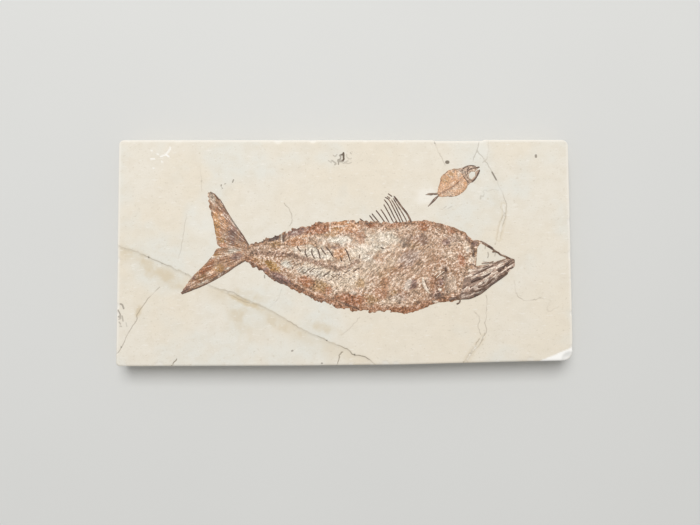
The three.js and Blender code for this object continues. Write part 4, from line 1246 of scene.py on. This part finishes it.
def crushed(x, y, size, seed):
    """Tone of crushed scale, 0 to 1: flakes of two sizes with warped outlines, a finer noise, and light and
    dark curled lines."""
    wx = x + 1.7 * size * (clouds(x, y, 1.8 * size, seed, 2) - 0.5)
    wy = y + 1.7 * size * (clouds(x, y, 1.8 * size, seed + 2, 2) - 0.5)
    coarse = flakes(wx, wy, 1.5 * size, seed + 4, 1.3, 0.3)
    fine = flakes(wx, wy, 0.75 * size, seed + 5)
    lines = curls(x, y, 2.2 * size, seed + 7) - curls(x, y, 2.2 * size, seed + 8)
    return even(0.36 * coarse + 0.4 * fine + 0.24 * noise(x, y, 0.5 * size, seed + 6) + 0.16 * lines, 8)


def fibrous(x, y, turn, seed):
    """Tone of fibrous bone, 0 to 1: noise drawn out along a direction that wanders."""
    u = x * math.cos(turn) + y * math.sin(turn)
    v = y * math.cos(turn) - x * math.sin(turn) + 4 * (clouds(x, y, 9, seed) - 0.5)
    return even(0.6 * noise(u / 2.4, v / 0.65, 1, seed + 3) + 0.4 * noise(u / 1.0, v / 0.42, 1, seed + 4), 9)


def jaw_streaks(x, y):
    """Tone of the jaw, 0 to 1: noise drawn out along rays from a point ahead of the snout."""
    far = np.hypot(x - JAW_FAN_CENTRE[0], y - JAW_FAN_CENTRE[1])
    fan = np.degrees(np.arctan2(JAW_FAN_CENTRE[1] - y, JAW_FAN_CENTRE[0] - x))
    return even(0.6 * noise(far / 6, fan / 1.9, 1, 190) + 0.4 * noise(far / 1.8, fan / 1.1, 1, 191), 8)


def foot_of(node):
    """Height of the underside of a node's solid."""
    return float(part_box(node)[0][2]) / MM


def film_height(relief, inside, rim):
    """Height of a film over the face: its relief inside the ragged outline, sunk into the stone outside, with
    a smoothstep between the two depths of the rim."""
    return -FILM_SINK + (relief + FILM_SINK) * ramp(*rim, inside)


def backbone_fields(x, y):
    """The dark chain of the backbone, the single vertebrae along it as a cosine of the way, and below it the
    herringbone dashes of fine bones as a cosine across them; each from 0 to 1."""
    spine, offset, along, _, _ = nearest(x, y, spline(BACKBONE))
    span = ramp(*BACKBONE_ENDS[1], x) * ramp(*BACKBONE_ENDS[0], x)
    chain = ramp(2.1, 0.8, spine + 1.6 * (clouds(x, y, 1.6, 145) - 0.5)) * span
    vertebra = ramp(2.1, 0.7, spine) * (0.5 + 0.5 * np.cos(2 * math.pi * along / VERTEBRA_PITCH)) * span
    rank = (y * math.cos(HERRINGBONE_TURN) - x * math.sin(HERRINGBONE_TURN)) / HERRINGBONE_PITCH
    rank = rank + 0.7 * (clouds(x, y, 6, 140) - 0.5)
    dashes = ramp(0.45, 0.9, np.cos(2 * math.pi * rank)) * ramp(0.42, 0.55, clouds(x, y, 2.4, 143))
    below = (offset < 0) * ramp(1, 2.5, spine) * ramp(12, 6, spine)
    dashes = dashes * below * ramp(*HERRINGBONE_ENDS[1], x) * ramp(*HERRINGBONE_ENDS[0], x)
    return chain, vertebra, dashes


def large_body(fossil):
    """The large fish's body film: ragged at its outline, with vertebrae, herringbone spines, crushed scales
    and blotches of pigment, and bare stone at the snout and in the mouth."""
    film = fossil.film / MM
    x, y, share, above_belly, below_back = body_grid(BODY_STATIONS, fossil.spacing / MM, margin=1.2)
    head = ramp(*HEAD_START, x)
    scallop = 3.4 * (clouds(x, y, 2.3, 101, 2) - 0.5) + 0.9 * (noise(x, y, 0.9, 103) - 0.5)
    inside = np.minimum(above_belly, below_back) + scallop * (1 - 0.55 * ramp(10, 60, x) - 0.3 * head)

    zone = blotches(x, y, BODY_BLOTCHES)
    tone = crushed(x, y, 0.72, 110)
    block = crushed(x, y, 1.4, 120)
    streaked = ramp(0.25, 0.75, patches(x, y, STREAK_PATCHES))
    fibre = even(0.35 * tone + 0.65 * fibrous(x, y, STREAK_TURN, 112), 6)
    tone = tone + (fibre - tone) * streaked
    drift = clouds(x, y, 6, 170)
    chain, vertebra, dashes = backbone_fields(x, y)
    belly_band = ramp(*BELLY_BAND, above_belly + 3 * (clouds(x, y, 4, 150) - 0.5)) * ramp(*BELLY_BAND_END, x)
    back_band = ramp(*BACK_BAND, below_back + 2.4 * (clouds(x, y, 4, 155) - 0.5)) * ramp(*BACK_BAND_END, x)
    edge = np.maximum(belly_band, back_band)
    jaw = ramp(-0.6, 0.6, depth_inside(x, y, JAW_OUTLINE))
    streaks = jaw_streaks(x, y)

    pale = zone["pale"] * (1 - 0.6 * chain)
    plates = zone["umber"] * (0.6 + 0.35 * ramp(0.75, 0.25, block))
    grit = tone - 0.12 * edge - 0.13 * chain + 0.3 * (drift - 0.5)
    stained = np.maximum.reduce([zone["rust"], zone["ochre"], zone["plum"], zone["umber"]])
    light = ramp(0.7, 0.95, grit) * (1 - 0.55 * np.clip(stained, 0, 1))
    pigments = {
        "tan": 0.82 - 0.62 * pale + 0.5 * (drift - 0.5) + 0.2 * edge,
        "peach": zone["peach"] * (0.7 + 0.3 * tone),
        "ash": zone["ash"] * (0.6 + 0.4 * tone),
        "ochre": zone["ochre"],
        "rust": np.maximum(zone["rust"], 0.5 * belly_band) * (0.8 + 0.2 * ramp(0.15, 0.75, block)),
        "plum": np.maximum(zone["plum"], 0.3 * chain) * (0.7 + 0.3 * block),
        "umber": np.maximum.reduce([plates, 0.5 * ramp(0.14, 0.0, grit), 0.75 * dashes,
                                    vertebra * (0.15 + 0.3 * (1 - tone))]),
        "cream": np.maximum(light * (0.6 - 0.15 * edge), zone["cream"]),
        "shade": 0.37 + (0.96 - 0.38 * pale) * np.clip(grit, 0, 1) + 0.26 * pale - 0.1 * zone["rust"],
    }
    gap = 1 - 0.7 * zone["umber"]
    in_jaw = {
        "tan": 0.5,
        "plum": 0.45,
        "umber": np.maximum(0.45 * ramp(0.5, 0.2, streaks),
                            zone["umber"] * (0.5 + 0.5 * ramp(0.75, 0.35, streaks))),
        "cream": np.maximum(0.75 * ramp(0.62, 0.85, streaks) * gap, zone["cream"]),
        "shade": 0.8 + 0.3 * streaks,
    }
    snout = ramp(-0.2, 0.4, depth_inside(x, y, BARE_SNOUT))
    mouth = ramp(-0.1, 0.25, depth_inside(x, y, BARE_MOUTH))
    bare = np.maximum(snout, mouth)
    for name, field in pigments.items():
        field = field + (in_jaw.get(name, 0) - field) * jaw
        pigments[name] = np.clip(field, 0, PIGMENT_MOST) * (1 - bare)
    pigments["ash"] = np.maximum(pigments["ash"], 0.6 * bare)
    pigments["shade"] = np.maximum(pigments["shade"], bare)

    relief = film + 0.1 * np.sin(math.pi * np.clip(share, 0, 1)) + 0.14 * tone + 0.22 * vertebra
    relief += 0.1 * dashes + 0.16 * edge * block - 0.12 * pale + 0.14 * jaw * (streaks - 0.5)
    height = film_height(relief, inside, LARGE_RIM) * (1 - bare) - 0.3 * bare
    return closed_film(x, y, face_height(x, y) + height, foot_of("large_fish"), pigments)


def lobe_grid(edges, step, margin):
    """A tail lobe's grid: columns from root to tip, rows from the inner to the outer edge. Gives x, y, the
    share of the way along, and the depth inside each edge."""
    outer, inner = edges
    cols = round(np.linalg.norm(np.subtract(outer[-1], outer[0])) / step) + 1
    a = along_spline(inner, cols)
    b = along_spline(outer, cols)
    width = np.linalg.norm(b - a, axis=1)
    rows = round((width.max() + 2 * margin) / step) + 1
    t = np.linspace(0, 1, rows)[:, None]
    v = -margin / width + (1 + 2 * margin / width) * t
    x = a[:, 0] + (b[:, 0] - a[:, 0]) * v
    y = a[:, 1] + (b[:, 1] - a[:, 1]) * v
    s = np.broadcast_to(np.linspace(0, 1, cols), x.shape)
    return x, y, s, v * width, (1 - v) * width


def tail_lobe(fossil, edges, fraying, seed):
    """One lobe of the tail: rays fan out from the root and split once, with a dark leading edge, blotches of
    pigment and a frayed tip."""
    film = fossil.film / MM
    x, y, s, from_inner, from_outer = lobe_grid(edges, 0.9 * fossil.spacing / MM, margin=0.9)
    fray = fraying * (clouds(x, y, 1.5, seed, 2) - 0.5) * (0.5 + ramp(0.55, 1.0, s))
    inside = np.minimum(from_inner + 1.3 * fray, from_outer + 0.4 * fray)
    inside = np.minimum(inside, (1 - s) * TIP_DEPTH + fray - 0.2)
    fan = np.degrees(np.arctan2(y - TAIL_FAN_CENTRE[1], x - TAIL_FAN_CENTRE[0])) % 360
    far = np.hypot(x - TAIL_FAN_CENTRE[0], y - TAIL_FAN_CENTRE[1])
    fan = fan + 2.0 * (clouds(x, y, 6, seed + 1) - 0.5)
    split = ramp(*RAY_SPLIT, far)
    whole = np.cos(2 * math.pi * fan / RAY_PITCH)
    halved = np.cos(4 * math.pi * fan / RAY_PITCH)
    rays = 0.5 + 0.5 * (whole + (halved - whole) * split)
    zone = blotches(x, y, TAIL_BLOTCHES)
    lines = 0.65 * noise(far / 5, fan / 0.9, 1, seed + 3) + 0.35 * noise(far / 1.6, fan / 0.9, 1, seed + 5)
    fibre = even(0.75 * lines + 0.25 * flakes(x, y, 0.6, seed + 4) + 0.12 * (rays - 0.5), 9)
    lead = ramp(1.3, 0.4, from_outer + 1.2 * (noise(x, y, 2, seed + 8) - 0.5))
    drift = clouds(x, y, 3, seed + 11)
    pigments = {
        "tan": 0.9 + 0.5 * (drift - 0.5) - 0.4 * zone["ash"],
        "peach": zone["peach"] * (0.7 + 0.3 * fibre),
        "ash": zone["ash"] * (0.3 + 0.5 * fibre),
        "ochre": zone["ochre"] * (0.7 + 0.3 * drift),
        "rust": zone["rust"] * (0.7 + 0.3 * drift),
        "plum": zone["plum"] * (0.7 + 0.3 * drift),
        "umber": np.maximum.reduce([0.75 * lead, 0.5 * ramp(0.18, 0.0, fibre),
                                    zone["umber"] * (0.6 + 0.4 * drift)]),
        "cream": np.maximum((1 - lead) * 0.6 * ramp(0.76, 0.94, fibre), zone["cream"]),
        "shade": 0.38 + 0.76 * fibre + 0.12 * zone["peach"],
    }
    pigments = {name: np.clip(field, 0, PIGMENT_MOST) for name, field in pigments.items()}
    relief = film + 0.12 * rays + 0.12 * lead + 0.1 * (fibre - 0.5)
    height = film_height(relief, inside, LARGE_RIM)
    return closed_film(x, y, face_height(x, y) + height, foot_of("large_fish"), pigments)


def large_bones(fossil):
    """The bones that stand out of the large fish's film: fin rays, spines, jaws, skull roof, and the gill
    cover's rays spread evenly between a dark and a light one."""
    rise = fossil.bone_rise / MM
    shells = []
    for routes, half, share, sink, tones in BONE_GROUPS:
        shells += [bone(route, half, share * rise, sink, tones) for route in routes]
    for route, half, tones in HEAD_BONES:
        shells.append(bone(route, half, HEAD_SHARE * rise, HEAD_SINK, tones))
    for t in np.linspace(0, 1, GILL_RAYS):
        route = GILL_FIRST + (GILL_LAST - GILL_FIRST) * t
        tones = {"tan": 0.6, "umber": 0.5 * (1 - t), "cream": 0.5 * t}
        shells.append(bone(route, GILL_HALF, GILL_SHARE * rise, GILL_SINK, tones))
    return shells


# Small fish

def turned(x, y):
    """From the small fish's own frame to the slab's."""
    c, s = math.cos(SMALL_TURN), math.sin(SMALL_TURN)
    return SMALL_PLACE[0] + x * c - y * s, SMALL_PLACE[1] + x * s + y * c


def small_route(route):
    """A route of the small fish in the slab's frame."""
    return [turned(px, py) for px, py in route]


def small_body(fossil):
    """The small fish's body film: orange-tan crushed scales with a brown midline, grey-brown head bones round
    a bare cheek and an open mouth."""
    film = fossil.film / MM
    x, y, share, above_belly, below_back = body_grid(SMALL_STATIONS, 0.7 * fossil.spacing / MM, margin=0.8)
    sx, sy = turned(x, y)
    ragged = 0.7 * (clouds(x, y, 1.2, 401, 2) - 0.5)
    inside = np.minimum(np.minimum(above_belly, below_back), x + 0.4) + ragged
    tone = crushed(x, y, 0.6, 410)
    zone = blotches(sx, sy, SMALL_BLOTCHES)
    head = ramp(*SMALL_HEAD, x + 0.04 * (y - 1) ** 2)
    cheek = ramp(-0.1, 0.4, depth_inside(x, y, SMALL_CHEEK))
    mouth = ramp(-0.1, 0.2, depth_inside(x, y, SMALL_MOUTH))
    bare = np.maximum(0.85 * cheek, mouth)
    midline = y - np.interp(x, *SMALL_MIDLINE)
    middle = np.exp(-(midline / 0.8) ** 2) * (1 - head)
    rim = ramp(0.9, 0.2, np.minimum(above_belly, below_back))
    drift = clouds(x, y, 4, 420)
    pigments = {
        "tan": 0.35 + 0.15 * head + 0.2 * zone["brown"],
        "peach": (0.74 + 0.4 * (drift - 0.5) - 0.6 * zone["brown"]) * (1 - head),
        "ash": zone["ash"] * (0.5 + 0.5 * tone),
        "ochre": zone["ochre"] * (0.4 + 0.6 * tone) * (1 - head),
        "rust": np.maximum(0.25 * middle, zone["rust"] * (0.4 + 0.6 * tone)),
        "plum": 0.2 * head,
        "umber": np.maximum.reduce([0.4 * head * ramp(0.3, 0.1, tone), 0.25 * middle + 0.3 * rim,
                                    0.7 * zone["umber"]]),
        "cream": np.maximum(0.36 * ramp(0.8, 0.96, tone), zone["cream"]),
        "shade": 0.68 + 0.4 * tone,
    }
    for name, field in pigments.items():
        pigments[name] = np.clip(field, 0, PIGMENT_MOST) * (1 - bare)
    pigments["cream"] = np.maximum(pigments["cream"], 0.7 * bare)
    pigments["shade"] = np.maximum(pigments["shade"], bare)
    relief = film + 0.1 * np.sin(math.pi * np.clip(share, 0, 1)) + 0.12 * tone + 0.06 * middle
    height = film_height(relief, inside, SMALL_RIM) * (1 - bare) - 0.2 * bare
    return closed_film(sx, sy, face_height(sx, sy) + height, foot_of("small_fish"), pigments)


def small_bones(fossil):
    """The bones that stand out of the small fish's film, and the lobes of its tail on the stone."""
    rise = SMALL_SHARE * fossil.bone_rise / MM
    shells = []
    for bones, sink in ((SMALL_BONES, SMALL_SINK), (SMALL_TAIL, SMALL_TAIL_SINK)):
        shells += [bone(small_route(route), half, rise, sink, tones) for route, half, tones in bones]
    return shells


# Stage

def add_camera(scene, stage):
    """The view from almost straight above: the lens stands off from its target on the face by the distance,
    its sine towards the front and its cosine up."""
    camera = bpy.data.cameras.new("view")
    camera.sensor_width = SENSOR_WIDTH_MM
    camera.lens = SENSOR_WIDTH_MM * stage.focal_pixels / IMAGE_WIDTH
    camera.clip_start = NEAREST_SEEN
    viewer = bpy.data.objects.new("view", camera)
    forward = stage.view_distance * math.sin(stage.view_tilt)
    up = stage.view_distance * math.cos(stage.view_tilt)
    viewer.location = (VIEW_TARGET_MM[0] * MM, VIEW_TARGET_MM[1] * MM - forward, FACE * MM + up)
    viewer.rotation_euler = (stage.view_tilt, 0, 0)
    scene.collection.objects.link(viewer)
    scene.camera = viewer


def add_light(scene, stage):
    """One large soft light behind and above the slab, and a weaker white light from all round."""
    key = bpy.data.lights.new("key", "AREA")
    key.energy = stage.key_power
    key.size = KEY_SIZE
    lamp = bpy.data.objects.new("key", key)
    lamp.location = KEY_PLACE
    lamp.rotation_euler = [math.radians(turn) for turn in KEY_TURN]
    scene.collection.objects.link(lamp)
    world = bpy.data.worlds.new("studio")
    world.use_nodes = True
    background = world.node_tree.nodes["Background"]
    background.inputs["Color"].default_value = (1, 1, 1, 1)
    background.inputs["Strength"].default_value = stage.ambient
    scene.world = world
    scene.view_settings.view_transform = "Standard"


def floor_material(stage):
    """Painted board, rolled on: matt pale grey with the faintest clouds, which reads as a plain ground."""
    material, tree, shader = new_material("pale_floor", Roughness=0.9, IOR=1.5)
    place = add(tree, "ShaderNodeTexCoord").outputs["Object"]
    mist = add(tree, "ShaderNodeTexNoise", None, Vector=place, Scale=FLOOR_CLOUDS_PER_METRE, Detail=2.0)
    darker = tuple(0.96 * channel for channel in stage.floor[:3]) + (1.0,)
    colour = layered(tree, tuple(stage.floor), [(mist.outputs["Fac"], darker)])
    tree.links.new(colour, shader.inputs["Base Color"])
    return material


def add_floor(scene, stage):
    """A flat square of floor at the height of the slab's underside."""
    side = np.linspace(-FLOOR_HALF, FLOOR_HALF, FLOOR_POINTS)
    x, y = np.meshgrid(side, side)
    points = np.stack([x.ravel(), y.ravel(), np.zeros(x.size)], -1)
    mesh = bpy.data.meshes.new("floor")
    mesh.from_pydata(points.tolist(), [], grid_faces(*x.shape).tolist())
    mesh.materials.append(floor_material(stage))
    floor = bpy.data.objects.new("floor", mesh)
    scene.collection.objects.link(floor)


# Operators

def settle(piece, node):
    """Puts a finished piece on the frame in place of its solid."""
    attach(piece, "root")
    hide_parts(node)


class FOSSIL_OT_stage(bpy.types.Operator):
    """Set up the camera, the soft light and the pale floor"""

    bl_idname = "fossil.stage"
    bl_label = "Stage"

    def execute(self, context):
        stage = context.scene.fossil_stage
        add_camera(context.scene, stage)
        add_light(context.scene, stage)
        add_floor(context.scene, stage)
        return {"FINISHED"}


class FOSSIL_OT_slab(bpy.types.Operator):
    """Build the limestone slab"""

    bl_idname = "fossil.slab"
    bl_label = "Slab"

    def execute(self, context):
        stone = context.scene.fossil_stone
        piece = make_piece("limestone_slab", [slab_shell(stone)], limestone_material(stone))
        settle(piece, "slab")
        return {"FINISHED"}


class FOSSIL_OT_large_fish(bpy.types.Operator):
    """Build the large fish"""

    bl_idname = "fossil.large_fish"
    bl_label = "Large fish"

    def execute(self, context):
        fossil = context.scene.fossil_bone
        shells = [large_body(fossil), tail_lobe(fossil, TAIL_UPPER, UPPER_FRAYING, 200),
                  tail_lobe(fossil, TAIL_LOWER, LOWER_FRAYING, 240)]
        shells += large_bones(fossil)
        piece = make_piece("large_fossil", shells, bone_material("fossil_bone_large", fossil))
        settle(piece, "large_fish")
        return {"FINISHED"}


class FOSSIL_OT_small_fish(bpy.types.Operator):
    """Build the small fish"""

    bl_idname = "fossil.small_fish"
    bl_label = "Small fish"

    def execute(self, context):
        fossil = context.scene.fossil_bone
        shells = [small_body(fossil)] + small_bones(fossil)
        piece = make_piece("small_fossil", shells, bone_material("fossil_bone_small", fossil))
        settle(piece, "small_fish")
        return {"FINISHED"}


class FOSSIL_PT_pieces(bpy.types.Panel):
    """Lists the pieces of the fossil slab"""

    bl_idname = "FOSSIL_PT_pieces"
    bl_label = "Fossil fish slab"
    bl_space_type = "VIEW_3D"
    bl_region_type = "UI"
    bl_category = "Fossil"

    def draw(self, context):
        for operator in OPERATORS:
            self.layout.operator(operator.bl_idname)


SETTINGS = {"fossil_stone": FossilStone, "fossil_bone": FossilBone, "fossil_stage": FossilStage}
OPERATORS = (FOSSIL_OT_stage, FOSSIL_OT_slab, FOSSIL_OT_large_fish, FOSSIL_OT_small_fish)
CLASSES = (*SETTINGS.values(), *OPERATORS, FOSSIL_PT_pieces)


def register():
    """Registers the classes and hangs each group of settings on the scene."""
    for cls in CLASSES:
        bpy.utils.register_class(cls)
    for name, group in SETTINGS.items():
        setattr(bpy.types.Scene, name, bpy.props.PointerProperty(type=group))


def unregister():
    """Takes the settings off the scene and unregisters the classes, the last one first."""
    for name in SETTINGS:
        delattr(bpy.types.Scene, name)
    for cls in reversed(CLASSES):
        bpy.utils.unregister_class(cls)


def main():
    """Builds the stage and the pieces in order."""
    register()
    bpy.ops.fossil.stage()
    bpy.ops.fossil.slab()
    bpy.ops.fossil.large_fish()
    bpy.ops.fossil.small_fish()


if __name__ == "__main__":
    main()
